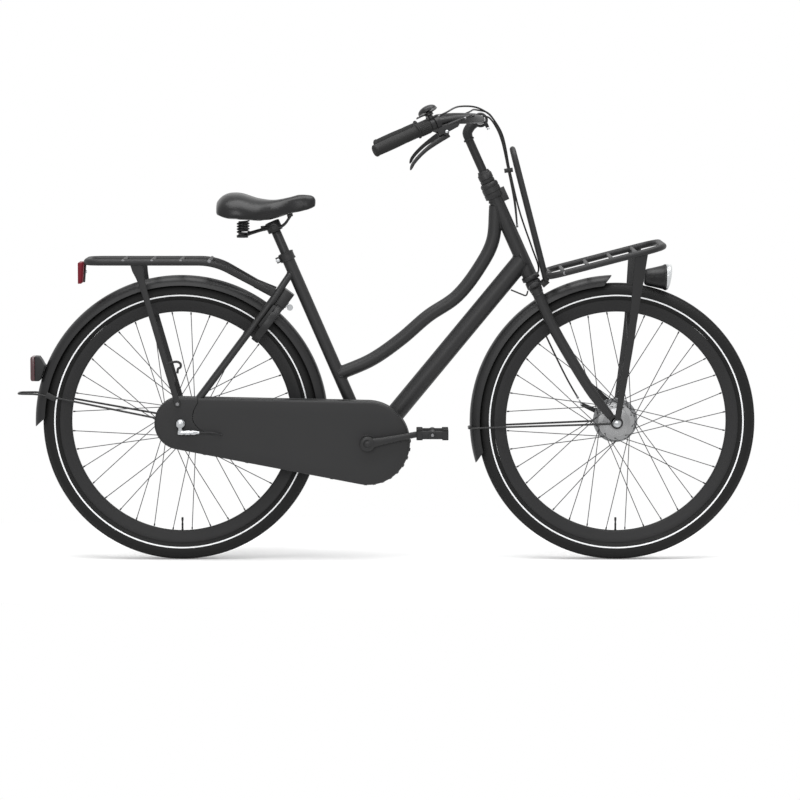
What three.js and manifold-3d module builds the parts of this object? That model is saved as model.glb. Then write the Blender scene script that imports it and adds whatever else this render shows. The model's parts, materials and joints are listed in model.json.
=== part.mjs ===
// A step-through city bicycle with a full chaincase, two luggage carriers and hub brakes.
// Millimetres and degrees. +X is forward, +Y is the rider's left, +Z is up. The wheels stand on z = 0
// and the origin is on the ground, under the middle of the whole bicycle.
import * as THREE from 'three';
import { mergeVertices } from 'three/addons/utils/BufferGeometryUtils.js';
import Module from 'manifold-3d';

const wasm = await Module();
wasm.setup();

// Driving dimensions of the whole bicycle
const wheelBase = 1130;
const tyreRadius = 361;
const mudguardGap = 20;
const mudguardRadius = tyreRadius + mudguardGap;
const crankClearance = 123;
const crankReach = tyreRadius + crankClearance;
const crankDrop = 51;
const headAngle = 65.8;
const seatAngle = 66.4;
const forkRake = 50;
const bowClearance = 66;
const bowReach = tyreRadius + bowClearance;
const seatGap = 0.3;
const overrun = 5;
const smallestStep = 0.05;

// Vectors, straight lines and the two slanted axes
const at = (x, y, z) => new THREE.Vector3(x, y, z);
const along = (from, direction, length) => from.clone().addScaledVector(direction, length);
const across = at(0, 1, 0);
const upward = at(0, 0, 1);
const forwards = at(1, 0, 0);
const turn = THREE.MathUtils.degToRad;
const heading = (degrees) => at(Math.cos(turn(degrees)), 0, Math.sin(turn(degrees)));
const rearAxle = at((bowReach - wheelBase - tyreRadius) / 2, 0, tyreRadius);
const frontAxle = along(rearAxle, forwards, wheelBase);
const crankAxle = at(rearAxle.x + crankReach, 0, tyreRadius - crankDrop);
const steerUp = at(-Math.cos(turn(headAngle)), 0, Math.sin(turn(headAngle)));
const steerAhead = at(Math.sin(turn(headAngle)), 0, Math.cos(turn(headAngle)));
const steerFoot = along(frontAxle, steerAhead, -forkRake);
const onSteer = (up, ahead = 0, side = 0) =>
  along(along(along(steerFoot, steerUp, up), steerAhead, ahead), across, side);
const seatUp = at(-Math.cos(turn(seatAngle)), 0, Math.sin(turn(seatAngle)));
const seatAhead = at(Math.sin(turn(seatAngle)), 0, Math.cos(turn(seatAngle)));
const onSeat = (up, ahead = 0, side = 0) =>
  along(along(along(crankAxle, seatUp, up), seatAhead, ahead), across, side);
const round = (centre, radius, degrees, side = 0) =>
  at(centre.x + radius * Math.cos(turn(degrees)), side, centre.z + radius * Math.sin(turn(degrees)));

// A closed mesh: only positions, shared vertices merged, empty triangles dropped, faces outwards
function tidy(geometry) {
  const bare = new THREE.BufferGeometry();
  bare.setAttribute('position', geometry.getAttribute('position').clone());
  bare.setIndex(geometry.index);
  const merged = mergeVertices(bare);
  const place = merged.getAttribute('position');
  const corners = [];
  let volume = 0;
  for (let k = 0; k < merged.index.count; k += 3) {
    const [a, b, c] = [0, 1, 2].map((n) => merged.index.getX(k + n));
    if (a === b || b === c || c === a) continue;
    corners.push(a, b, c);
    const [p, q, r] = [a, b, c].map((n) => new THREE.Vector3().fromBufferAttribute(place, n));
    volume += p.dot(q.cross(r));
  }
  merged.setIndex(volume < 0 ? corners.reverse() : corners);
  return merged;
}

// Joining and cutting closed solids
function toSolid(geometry) {
  const closed = tidy(geometry);
  return new wasm.Manifold(new wasm.Mesh({
    numProp: 3,
    vertProperties: Float32Array.from(closed.getAttribute('position').array),
    triVerts: Uint32Array.from(closed.index.array),
  }));
}

function toGeometry(solid) {
  const mesh = solid.simplify(smallestStep).getMesh();
  const geometry = new THREE.BufferGeometry();
  geometry.setAttribute('position', new THREE.BufferAttribute(mesh.vertProperties, 3));
  geometry.setIndex(new THREE.BufferAttribute(mesh.triVerts, 1));
  return geometry;
}

const join = (pieces) => toGeometry(pieces.map(toSolid).reduce((whole, piece) => whole.add(piece)));
const cut = (whole, tools) =>
  toGeometry(tools.map(toSolid).reduce((rest, tool) => rest.subtract(tool), toSolid(whole)));
const common = (one, other) => toGeometry(toSolid(one).intersect(toSolid(other)));

// A path through given stops: straight runs keep one step, and bends are rounded by a few
class Route extends THREE.Curve {
  constructor(stops) {
    super();
    this.stops = stops;
  }

  getPointAt(share) {
    const place = share * (this.stops.length - 1);
    const low = Math.min(Math.floor(place), this.stops.length - 2);
    return this.stops[low].clone().lerp(this.stops[low + 1], place - low);
  }

  getPoint(share) {
    return this.getPointAt(share);
  }

  getTangentAt(share) {
    const last = this.stops.length - 1;
    const here = Math.round(share * last);
    const direction = (k) => this.stops[k + 1].clone().sub(this.stops[k]).normalize();
    const before = direction(Math.max(here - 1, 0));
    return before.add(direction(Math.min(here, last - 1))).normalize();
  }
}

// Stops with each corner replaced by a short parabola
function rounded(points, bend, steps) {
  const stops = [points[0]];
  for (let k = 1; k < points.length - 1; k += 1) {
    const back = points[k - 1].clone().sub(points[k]);
    const on = points[k + 1].clone().sub(points[k]);
    const reach = Math.min(bend, back.length() / 2.1, on.length() / 2.1);
    const start = along(points[k], back.normalize(), reach);
    const end = along(points[k], on.normalize(), reach);
    for (let n = 0; n <= steps; n += 1) {
      const share = n / steps;
      const first = start.clone().lerp(points[k], share);
      stops.push(first.lerp(points[k].clone().lerp(end, share), share));
    }
  }
  return [...stops, points.at(-1)];
}

function disc(radius, sides) {
  const corners = [];
  for (let k = 0; k < sides; k += 1) {
    const angle = (2 * Math.PI * (k + 0.5)) / sides;
    corners.push(new THREE.Vector2(radius * Math.cos(angle), radius * Math.sin(angle)));
  }
  return new THREE.Shape(corners);
}

function pipe(stops, radius, sides = 8) {
  return new THREE.ExtrudeGeometry(disc(radius, sides), {
    steps: stops.length - 1, bevelEnabled: false, extrudePath: new Route(stops),
  });
}

const rod = (from, to, radius, sides = 8) => pipe([from, to], radius, sides);

// A smooth curve through a few points, as stops
const smooth = (points, steps) => new THREE.CatmullRomCurve3(points, false,
  'centripetal').getSpacedPoints(steps);

// A profile of [radius, along] pairs turned round an axis
function turned(profile, sides, centre, axis = across) {
  const outline = profile.map(([radius, length]) => new THREE.Vector2(radius, length));
  const geometry = new THREE.LatheGeometry(outline, sides);
  geometry.applyQuaternion(new THREE.Quaternion().setFromUnitVectors(across, axis));
  return geometry.translate(centre.x, centre.y, centre.z);
}

const washer = (inner, outer, low, high, sides, centre, axis) =>
  turned([[inner, low], [outer, low], [outer, high], [inner, high], [inner, low]], sides, centre, axis);
const drum = (radius, low, high, sides, centre, axis) =>
  turned([[0, low], [radius, low], [radius, high], [0, high]], sides, centre, axis);

// An outline of [x, z] pairs in the side view, given a thickness across the bicycle
function slab(outline, low, high, bevel = 0) {
  const shape = new THREE.Shape(outline.map(([x, z]) => new THREE.Vector2(x, z)));
  const geometry = new THREE.ExtrudeGeometry(shape, {
    depth: high - low - 2 * bevel, bevelEnabled: bevel > 0, bevelSize: bevel, bevelThickness: bevel,
    bevelOffset: -bevel, bevelSegments: 2,
  });
  geometry.translate(0, 0, bevel).rotateX(Math.PI / 2);
  return geometry.translate(0, high, 0);
}

// Rings of equal count joined into one closed skin; a zip of triangles shuts both ends
function loft(rings, endless = false) {
  const count = rings[0].length;
  const corners = [];
  const skins = endless ? rings.length : rings.length - 1;
  for (let r = 0; r < skins; r += 1) {
    const here = r * count;
    const next = ((r + 1) % rings.length) * count;
    for (let k = 0; k < count; k += 1) {
      const m = (k + 1) % count;
      corners.push(here + k, here + m, next + m, here + k, next + m, next + k);
    }
  }
  for (const [start, flip] of endless ? [] : [[0, true], [(rings.length - 1) * count, false]]) {
    for (let k = 0; k < count / 2 - 1; k += 1) {
      const quad = [k, k + 1, count - 2 - k, count - 1 - k].map((n) => n + start);
      const faces = [[quad[0], quad[1], quad[2]], [quad[0], quad[2], quad[3]]];
      for (const face of faces) corners.push(...(flip ? face.reverse() : face));
    }
  }
  const geometry = new THREE.BufferGeometry();
  const places = rings.flat().flatMap((p) => [p.x, p.y, p.z]);
  geometry.setAttribute('position', new THREE.Float32BufferAttribute(places, 3));
  geometry.setIndex(corners);
  return geometry;
}

// A round or oval tube whose radius changes from stop to stop; flat is its thickness share across
function tapered(stops, radii, sides, flat = 1) {
  const route = new Route(stops);
  return loft(stops.map((stop, k) => {
    const forward = route.getTangentAt(k / (stops.length - 1));
    const wide = forward.clone().cross(across).normalize();
    const deep = forward.clone().cross(wide).normalize();
    return Array.from({ length: sides }, (_, n) => {
      const angle = (2 * Math.PI * (n + 0.5)) / sides;
      return along(along(stop, wide, radii[k] * Math.cos(angle)), deep, radii[k] * flat * Math.sin(angle));
    });
  }));
}

// A flat bar with a width and a thickness at each end; its width lies along the given direction
function flatBar(from, to, widthDirection, widths, thickness) {
  const ahead = to.clone().sub(from).normalize();
  const wide = widthDirection.clone().projectOnPlane(ahead).normalize();
  const thick = ahead.clone().cross(wide);
  const ring = (centre, width) => [[1, 1], [-1, 1], [-1, -1], [1, -1]].map(([a, b]) =>
    along(along(centre, wide, (a * width) / 2), thick, (b * thickness) / 2));
  return loft([ring(from, widths[0]), ring(to, widths[1])]);
}

// Finishes, and the bicycle that the pieces are added to
const finish = (color, roughness, metalness) => new THREE.MeshStandardMaterial({ color, roughness,
  metalness });
const mattBlack = finish(0x3a3a3a, 0.6, 0.1);
const rubber = finish(0x2a2a2a, 0.85, 0);
const rimBlack = finish(0x383838, 0.45, 0.5);
const silver = finish(0xb4b6b8, 0.35, 0.9);
const steel = finish(0x8c8c8c, 0.4, 0.9);
const plastic = finish(0x2e2e2e, 0.5, 0);
const leather = finish(0x303030, 0.7, 0);
const redLens = finish(0x8a2a35, 0.3, 0);
const clearLens = finish(0xdde2e4, 0.1, 0);
const bike = new THREE.Group();

function add(name, geometry, material) {
  const mesh = new THREE.Mesh(tidy(geometry), material);
  mesh.geometry.computeVertexNormals();
  mesh.name = name;
  bike.add(mesh);
}

// Tyres and rims: a moulded tyre seated on a deep rim, with the valve at the bottom
const wheelSides = 40;
const tyreWidth = 50;
const tyreHeight = 44;
const beadRadius = tyreRadius - tyreHeight;
const rimWidth = 30;
const rimDepth = 31;
const rimInnerRadius = beadRadius - rimDepth;
const valveLength = 34;
const valveRadius = 3;
const tyreWidthShares = [0.52, 1, 0.8, 0];
const tyreRiseShares = [0, 0.33, 0.76, 1];
const rimWidthShares = [1, 0.55];
const rimRiseShares = [1, 0];

function mirroredProfile(radii, halves) {
  const near = radii.map((radius, k) => [radius, -halves[k]]);
  const far = radii.map((radius, k) => [radius, halves[k]]).filter(([, y]) => y > 0);
  return [...near, ...far.reverse(), near[0]];
}

function tyreAndRim(place, centre) {
  const tyreRise = tyreRadius - beadRadius - seatGap;
  const tyreRadii = tyreRiseShares.map((share) => beadRadius + seatGap + share * tyreRise);
  const tyreHalves = tyreWidthShares.map((s) => (s * tyreWidth) / 2);
  add(`${place}_tyre`, turned(mirroredProfile(tyreRadii, tyreHalves), wheelSides, centre), rubber);
  const rimRadii = rimRiseShares.map((s) => rimInnerRadius + s * (beadRadius - rimInnerRadius));
  const rimHalves = rimWidthShares.map((s) => (s * rimWidth) / 2);
  const rim = turned(mirroredProfile(rimRadii, rimHalves), wheelSides, centre);
  const valve = rod(round(centre, rimInnerRadius + overrun, -90),
    round(centre, rimInnerRadius - valveLength, -90),
    valveRadius, 6);
  add(`${place}_rim`, join([rim, valve]), rimBlack);
}

// Hubs: two flanges laced with crossed spokes, half of them leading and half trailing
const spokeCount = 36;
const spokeRadius = 0.95;
const spokeOffset = 1.4;
const spokeSpread = 3;
const crossTurn = 60;
const flangeThickness = 3.2;
const flangeLip = 5;
const axleRadius = 5;
const axleClearance = 0.5;

function lacedHub(name, centre, sizes) {
  const { rightFlange, leftFlange, pitchRadius, barrelRadius, rightEnd, leftEnd } = sizes;
  const lip = pitchRadius + flangeLip;
  const half = flangeThickness / 2;
  const bore = axleRadius + axleClearance;
  const collar = (bore + barrelRadius) / 2;
  const profile = [[bore, rightEnd], [collar, rightEnd], [barrelRadius, rightFlange - half],
    [lip, rightFlange - half],
    [lip, rightFlange + half], [barrelRadius, rightFlange + half], [barrelRadius, leftFlange - half],
    [lip, leftFlange - half], [lip, leftFlange + half], [collar, leftEnd], [bore, leftEnd],
      [bore, rightEnd]];
  const pieces = [turned(profile, 12, centre)];
  const spokeEnd = rimInnerRadius * Math.cos(Math.PI / wheelSides) - 2 * seatGap;
  for (let k = 0; k < spokeCount; k += 1) {
    const flange = k % 2 ? leftFlange : rightFlange;
    const lead = Math.floor(k / 2) % 2 ? 1 : -1;
    const rimTurn = ((k + 0.5) * 360) / spokeCount;
    const start = round(centre, pitchRadius, rimTurn + lead * crossTurn, flange + lead * spokeOffset);
    const end = round(centre, spokeEnd, rimTurn, k % 2 ? spokeSpread : -spokeSpread);
    pieces.push(rod(start, end, spokeRadius, 3));
  }
  add(name, join(pieces), silver);
}

const frontRightFlange = -30;
const frontLeftFlange = 22;
const frontPitchRadius = 42;
const frontBarrelRadius = 38;
const frontRightEnd = -43;
const frontLeftEnd = 27;
const rearRightFlange = -31;
const rearLeftFlange = 25;
const rearPitchRadius = 40;
const rearBarrelRadius = 31;
const rearRightEnd = -40;
const rearLeftEnd = 31;
const frontHub = {
  rightFlange: frontRightFlange, leftFlange: frontLeftFlange, pitchRadius: frontPitchRadius,
  barrelRadius: frontBarrelRadius, rightEnd: frontRightEnd, leftEnd: frontLeftEnd,
};
const rearHub = {
  rightFlange: rearRightFlange, leftFlange: rearLeftFlange, pitchRadius: rearPitchRadius,
  barrelRadius: rearBarrelRadius, rightEnd: rearRightEnd, leftEnd: rearLeftEnd,
};
tyreAndRim('front', frontAxle);
tyreAndRim('rear', rearAxle);
lacedHub('front_hub', frontAxle, frontHub);
lacedHub('rear_hub', rearAxle, rearHub);

// Axles with their nuts, clamped in the fork ends and in the frame ends
const frontEndInner = 50;
const rearEndInner = 65;
const endPlate = 6;
const nutRadius = 9.5;
const nutThickness = 8;
const axleStub = 5;

function axleWithNuts(name, centre, inner) {
  const nutStart = inner + endPlate + seatGap;
  const nutEnd = nutStart + nutThickness;
  const pieces = [rod(along(centre, across, -nutEnd - axleStub), along(centre, across, nutEnd + axleStub),
    axleRadius, 12)];
  for (const side of [-1, 1]) {
    pieces.push(rod(along(centre, across, side * nutStart), along(centre, across, side * nutEnd), nutRadius,
      6));
  }
  add(name, join(pieces), steel);
}

axleWithNuts('front_axle', frontAxle, frontEndInner);
axleWithNuts('rear_axle', rearAxle, rearEndInner);

// Main frame: head tube, thick down tube, curved top tube, seat tube, stays and axle plates
const crownClearance = 43;
const crownPlace = tyreRadius + crownClearance;
const crownRaceHeight = 22;
const headBottom = crownPlace + crownRaceHeight;
const headTubeLength = 234;
const headTop = headBottom + headTubeLength;
const headTubeRadius = 19;
const headCupRadius = 24;
const lowerCupHeight = 14;
const upperCupHeight = 42;
const headBoreRadius = 15;
const cableBlockReach = 33;
const cableBlockWidth = 20;
const cableBlockHeight = 36;
const downTubeRadius = 24.5;
const downTubeHeadRise = 58;
const downTubeHeadPlace = headBottom + downTubeHeadRise;
const downTubeFootAhead = 13;
const topTubeRadius = 17.5;
const topTubeHeadDrop = 20;
const topTubeHeadPlace = headTop - topTubeHeadDrop;
const topTubeSeatPlace = 190;
const seatTubeRadius = 16;
const seatTubeLength = 536;
const seatBoreRadius = 13.6;
const seatBoreDepth = 230;
const shellRadius = 21;
const shellWidth = 68;
const shellBoreRadius = 18;
const chainStayRadius = 9;
const seatStayRadius = 8;
const stayHeadDrop = 56;
const stayHeadPlace = seatTubeLength - stayHeadDrop;
const stayNarrow = 12;
const stayBendWidth = 43;
const endPlateRadius = 21;
const bridgeGap = 15;
const bridgeRadius = mudguardRadius + bridgeGap;
const bridgeRodRadius = 6;
const stayBendRadius = bridgeRadius + bridgeRodRadius;
const carrierEyeTurn = 98;
const carrierEyeReach = 52;
const carrierEyeRadius = 7;
const carrierEyeOuter = 79;
const standPlateTurn = -12;
const standBack = 94;
const standSide = 48;
const standFall = 4;
const standPivot = at(crankAxle.x - standBack, standSide, crankAxle.z - standFall);
const standAxisShares = [0.061, 0.96, 0.257];
const standFoldedShares = [-0.998, 0.052, 0.042];
const standAxis = at(...standAxisShares).normalize();
const standFolded = at(...standFoldedShares).normalize();
const standLength = 296;
const standRadius = 6;
const standBoss = 11;
const standBossLength = 8;
const standBase = 2;
const standPin = 4;
const standHead = 7;
const topTubeAheadShares = [0, -0.02, -0.11, -0.25, -0.43, -0.605, -0.79, -1];
const topTubeDropShares = [0, 0.21, 0.375, 0.54, 0.655, 0.795, 0.915, 1];
const endAngle = THREE.MathUtils.radToDeg(Math.atan2(onSeat(stayHeadPlace).z - rearAxle.z,
  onSeat(stayHeadPlace).x - rearAxle.x));
const endMiddle = rearEndInner + endPlate / 2;

const topTubeHead = onSteer(topTubeHeadPlace, -headTubeRadius / 3);
const topTubeSeat = onSeat(topTubeSeatPlace);
const topTubeStops = smooth(topTubeAheadShares.map((share, k) => at(
  topTubeHead.x + share * (topTubeHead.x - topTubeSeat.x), 0,
  topTubeHead.z - topTubeDropShares[k] * (topTubeHead.z - topTubeSeat.z))), 11);

const chainStayStops = (side) => [at(crankAxle.x, side * stayNarrow * 2, crankAxle.z),
  at(crankAxle.x - crankReach * 0.3, side * (stayBendWidth - 3 * seatGap), crankAxle.z + crankDrop * 0.3),
  at(rearAxle.x + crankReach * 0.28, side * (stayBendWidth + 6 * seatGap), rearAxle.z - crankDrop * 0.2),
  at(rearAxle.x + crankReach * 0.12, side * (endMiddle - endPlate), rearAxle.z - crankDrop * 0.06),
  at(rearAxle.x + endPlateRadius / 2, side * (endMiddle - endPlate / 2), rearAxle.z)];
const seatStayStops = (side) => [onSeat(stayHeadPlace, -seatTubeRadius / 2, side * stayNarrow / 2),
  round(rearAxle, stayBendRadius, endAngle, side * stayBendWidth),
  round(rearAxle, endPlateRadius / 2, endAngle, side * endMiddle)];
const chainStay = (side, radius) => pipe(rounded(chainStayStops(side), stayBendWidth, 1), radius, 8);
const seatStay = (side, radius) => pipe(rounded(seatStayStops(side), stayBendWidth, 1), radius, 6);

function mainFrame() {
  const downHead = onSteer(downTubeHeadPlace);
  const downFoot = at(crankAxle.x + downTubeFootAhead, 0, crankAxle.z);
  const pieces = [
    rod(onSteer(headBottom + lowerCupHeight / 2), onSteer(headTop + upperCupHeight / 2), headTubeRadius,
      10),
    rod(onSteer(headBottom), onSteer(headBottom + lowerCupHeight), headCupRadius - 2 * seatGap, 10),
    rod(onSteer(headTop), onSteer(headTop + upperCupHeight), headCupRadius, 10),
    flatBar(onSteer(headTop, headCupRadius / 2), onSteer(headTop, cableBlockReach), across,
      [cableBlockWidth, cableBlockWidth], cableBlockHeight),
    rod(downFoot, downHead, downTubeRadius, 10),
    pipe(topTubeStops, topTubeRadius, 8),
    rod(crankAxle, onSeat(seatTubeLength), seatTubeRadius, 10),
    drum(shellRadius, -shellWidth / 2, shellWidth / 2, 14, crankAxle),
    rod(round(rearAxle, bridgeRadius, endAngle, -stayBendWidth),
      round(rearAxle, bridgeRadius, endAngle, stayBendWidth),
      bridgeRodRadius, 6),
    rod(round(rearAxle, bridgeRadius, standPlateTurn / 2, -stayBendWidth + chainStayRadius / 2),
      round(rearAxle, bridgeRadius, standPlateTurn / 2, stayBendWidth - chainStayRadius / 2),
        bridgeRodRadius, 6),
  ];
  const onStand = (reach) => along(standPivot, standAxis, reach);
  const standEnd = standBase + standBossLength + 2 * seatGap;
  pieces.push(
    rod(onStand(-standSide / 3), onStand(standBase), standBoss, 8),
    rod(onStand(0), onStand(standEnd + standBase), standPin, 8),
    rod(onStand(standEnd), onStand(standEnd + standBase), standHead, 6));
  for (const side of [-1, 1]) {
    const outer = side < 0 ? rearEndInner + endPlate + seatGap : carrierEyeOuter;
    const eye = round(rearAxle, carrierEyeReach, carrierEyeTurn);
    pieces.push(chainStay(side, chainStayRadius), seatStay(side, seatStayRadius),
      rod(along(rearAxle, across, side * rearEndInner), along(rearAxle, across,
        side * (rearEndInner + endPlate)),
        endPlateRadius, 12),
      flatBar(along(rearAxle, across, side * endMiddle), along(eye, across, side * endMiddle),
        across.clone().cross(upward),
        [endPlateRadius, carrierEyeRadius * 2], endPlate),
      rod(along(eye, across, side * rearEndInner), along(eye, across, side * outer), carrierEyeRadius, 8));
  }
  const bores = [
    rod(onSteer(headBottom - overrun), onSteer(headTop + upperCupHeight + overrun), headBoreRadius, 10),
    drum(shellBoreRadius, -shellWidth / 2 - overrun, shellWidth / 2 + overrun, 16, crankAxle),
    rod(onSeat(seatTubeLength - seatBoreDepth), onSeat(seatTubeLength + overrun), seatBoreRadius, 10),
    drum(axleRadius + axleClearance, -rearEndInner * 2, rearEndInner * 2, 12, rearAxle),
  ];
  return cut(join(pieces), bores);
}

add('main_frame', mainFrame(), mattBlack);

// Seat clamp: a split collar on top of the seat tube with its bolt behind
const clampHeight = 22;
const clampWall = 4.5;
const clampEar = 9;
const clampBoltRadius = 3.5;
const clampBoltLength = 26;
const clampCentre = onSeat(seatTubeLength - clampHeight / 2 - 3 * seatGap);
add('seat_clamp', cut(join([
  rod(along(clampCentre, seatUp, -clampHeight / 2), along(clampCentre, seatUp, clampHeight / 2),
    seatTubeRadius + clampWall, 10),
  flatBar(along(clampCentre, seatAhead, -seatTubeRadius), along(clampCentre, seatAhead,
    -seatTubeRadius - clampWall - clampEar),
    across, [clampEar * 2, clampEar * 2], clampHeight * 0.7),
  rod(along(along(clampCentre, seatAhead, -seatTubeRadius - clampEar), across, -clampBoltLength / 2),
    along(along(clampCentre, seatAhead, -seatTubeRadius - clampEar), across, clampBoltLength / 2),
      clampBoltRadius, 6),
]), [rod(along(clampCentre, seatUp, -clampHeight), along(clampCentre, seatUp, clampHeight),
  seatTubeRadius + 3 * seatGap, 10)]), mattBlack);

// Bottom bracket cartridge, and the spindle that carries both cranks
const cartridgeRadius = 17.3;
const spindleRadius = 8.5;
const spindleLength = 174;
const bearingClearance = 0.9;
const crankLength = 170;
const crankTurn = 11;
const crankInner = 85;
const crankThickness = 13;
const crankBossRadius = 17;
const crankTipRadius = 12;
const ringBossRadius = 14;
const pedalAxleRadius = 4.8;
const pedalLength = 96;
const pedalDepth = 82;
const pedalHeight = 26;
const pedalBar = 16;
const pedalStart = 5;
add('bottom_bracket', washer(spindleRadius + bearingClearance, cartridgeRadius, -shellWidth / 2,
  shellWidth / 2, 16,
  crankAxle), steel);
add('crank_spindle', rod(along(crankAxle, across, -spindleLength / 2),
  along(crankAxle, across, spindleLength / 2),
  spindleRadius, 12), steel);

// Chain line: a toothed chainwheel, a toothed rear sprocket, and the chain as a channel that straddles the
// teeth
const chainPitch = 12.7;
const ringTeeth = 38;
const sprocketTeeth = 19;
const chainLine = 46;
const toothThickness = 2.4;
const toothRise = 3.4;
const toothFall = 4;
const chainHalfWidth = 4;
const chainSlot = 1.6;
const chainDepth = 4.5;
const chainOuter = 6.6;
const chainCover = 4.8;
const driverRadius = 16;
const pitchRadiusOf = (teeth) => chainPitch / (2 * Math.sin(Math.PI / teeth));

function toothedWheel(teeth, centre, boreRadius) {
  const pitch = pitchRadiusOf(teeth);
  const outline = [];
  for (let k = 0; k < teeth; k += 1) {
    for (const [share, rise] of [[0, -toothFall], [0.5, toothRise]]) {
      const angle = (2 * Math.PI * (k + share)) / teeth;
      outline.push([centre.x + (pitch + rise) * Math.cos(angle),
        centre.z + (pitch + rise) * Math.sin(angle)]);
    }
  }
  const plate = slab(outline, -chainLine - toothThickness / 2, -chainLine + toothThickness / 2);
  return cut(plate, [drum(boreRadius, -chainLine * 2, 0, 16, centre)]);
}

// The outline of a belt round two circles in the side view: [centre, radius, angle] all the way round
function beltStops(rearRadius, frontRadius, rearSteps, frontSteps) {
  const span = crankAxle.clone().sub(rearAxle);
  const slope = THREE.MathUtils.radToDeg(Math.atan2(span.z, span.x));
  const lean = THREE.MathUtils.radToDeg(Math.acos((rearRadius - frontRadius) / span.length()));
  const stops = [];
  for (let k = 0; k <= rearSteps; k += 1) {
    stops.push([rearAxle, rearRadius, slope + lean + (k * (360 - 2 * lean)) / rearSteps]);
  }
  for (let k = 0; k <= frontSteps; k += 1) {
    stops.push([crankAxle, frontRadius, slope - lean + (k * 2 * lean) / frontSteps]);
  }
  return stops;
}

const chainSection = [[-chainDepth, -chainHalfWidth], [chainOuter, -chainHalfWidth],
  [chainOuter, chainHalfWidth],
  [-chainDepth, chainHalfWidth], [-chainDepth, chainSlot], [chainCover, chainSlot],
    [chainCover, -chainSlot],
  [-chainDepth, -chainSlot]];
add('chainring', toothedWheel(ringTeeth, crankAxle, ringBossRadius + 3 * seatGap), steel);
add('rear_sprocket', join([toothedWheel(sprocketTeeth, rearAxle, driverRadius - seatGap),
  washer(axleRadius + axleClearance, driverRadius, -chainLine - toothThickness, rearHub.rightEnd - seatGap,
    16, rearAxle)]),
steel);
add('chain', loft(beltStops(pitchRadiusOf(sprocketTeeth), pitchRadiusOf(ringTeeth), 8,
  13).map(([centre, radius, angle]) =>
  chainSection.map(([rise, side]) => round(centre, radius + rise, angle, side - chainLine))), true), steel);

// Cranks, each with the pedal axle screwed into it, and the pedals
const crankTip = (side) => round(crankAxle, side * -crankLength, crankTurn);

function crank(side) {
  const inner = side * crankInner;
  const outer = side * (crankInner + crankThickness);
  const middle = (inner + outer) / 2;
  const tip = crankTip(side);
  const face = (centre, y) => at(centre.x, y, centre.z);
  const pieces = [
    rod(face(crankAxle, side < 0 ? -chainLine + toothThickness : inner), face(crankAxle, outer),
      side < 0 ? ringBossRadius : crankBossRadius, 12),
    rod(face(crankAxle, inner), face(crankAxle, outer), crankBossRadius, 12),
    rod(face(tip, inner), face(tip, outer), crankTipRadius, 12),
    flatBar(face(crankAxle, middle), face(tip, middle), upward,
      [crankBossRadius * 1.6, crankTipRadius * 1.6],
      crankThickness - 2 * seatGap),
    rod(face(tip, middle), face(tip, outer + side * (pedalStart + pedalLength)), pedalAxleRadius, 10),
  ];
  const bore = rod(along(crankAxle, across, -spindleLength), along(crankAxle, across, spindleLength),
    spindleRadius + seatGap * 1.5, 12);
  return cut(join(pieces), [bore]);
}

function pedal(side) {
  const tip = crankTip(side);
  const start = side * (crankInner + crankThickness + pedalStart);
  const end = start + side * pedalLength;
  const bar = (shift) => flatBar(at(tip.x + shift, start, tip.z), at(tip.x + shift, end, tip.z), upward,
    [pedalHeight, pedalHeight], pedalBar);
  const endBar = (y) => flatBar(at(tip.x - pedalDepth / 2 + pedalBar / 2, y, tip.z),
    at(tip.x + pedalDepth / 2 - pedalBar / 2, y, tip.z), upward, [pedalHeight * 0.8, pedalHeight * 0.8],
      pedalBar * 0.7);
  const reach = pedalDepth / 2 - pedalBar / 2;
  const pieces = [bar(-reach), bar(reach), endBar(start + side * pedalBar), endBar(end - side * pedalBar),
    rod(at(tip.x, start, tip.z), at(tip.x, end + side * seatGap, tip.z), pedalAxleRadius * 2, 8)];
  return cut(join(pieces), [rod(at(tip.x, start - side * overrun, tip.z),
    at(tip.x, end + side * overrun * 2, tip.z),
    pedalAxleRadius + 3 * seatGap, 8)]);
}

add('right_crank', crank(-1), mattBlack);
add('left_crank', crank(1), mattBlack);
add('right_pedal', pedal(-1), plastic);
add('left_pedal', pedal(1), plastic);

// Chaincase: an outer shell, a rear flap for taking the wheel out, and an inner plate
const caseRearRadius = 68;
const caseFrontRadius = 109;
const caseFace = 78;
const caseRim = 40;
const caseWall = 2.2;
const caseBevel = 7;
const innerPlate = 1.7;
const crankHole = 18.5;
const axleHole = 13;
const hubHole = 26;
const stayGap = 1.2;
const seamTopAhead = 46;
const seamNotchAhead = 29;
const seamFootAhead = 107;
const seamFootDrop = 38;

const carrierBolt = 2.5;
const carrierEye = round(rearAxle, carrierEyeReach, carrierEyeTurn);
const caseOutline = (inset) => beltStops(caseRearRadius - inset, caseFrontRadius - inset, 10, 16)
  .map(([centre, radius, angle]) => round(centre, radius, angle)).map((p) => [p.x, p.z]);
const wireRadius = 2.2;
const wireGap = seatGap + wireRadius;
const mudguardHalf = 29.5;
const mudguardDepth = 26;
const mudguardWall = 1.6;
const bowTurn = 169;
const bowInset = 16;
const bowRadius = tyreRadius - bowInset;
const bowRise = 73;
const bowNarrow = 26;
const bowStraight = 52;
const wireStartTurn = 166;
const wireBend = 16;
const rearWireStops = (side) => [
  round(rearAxle, endPlateRadius + 2 * seatGap, wireStartTurn, side * endMiddle),
  round(rearAxle, bowRadius, bowTurn, side * (mudguardHalf + wireGap)),
  at(rearAxle.x - bowReach + bowStraight, side * (mudguardHalf + wireGap), rearAxle.z + bowRise),
  at(rearAxle.x - bowReach + wireRadius, side * bowNarrow, rearAxle.z + bowRise)];
const rearWire = (radius) => pipe(rounded([...rearWireStops(-1), ...rearWireStops(1).reverse()], wireBend,
  2), radius, 5);

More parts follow.
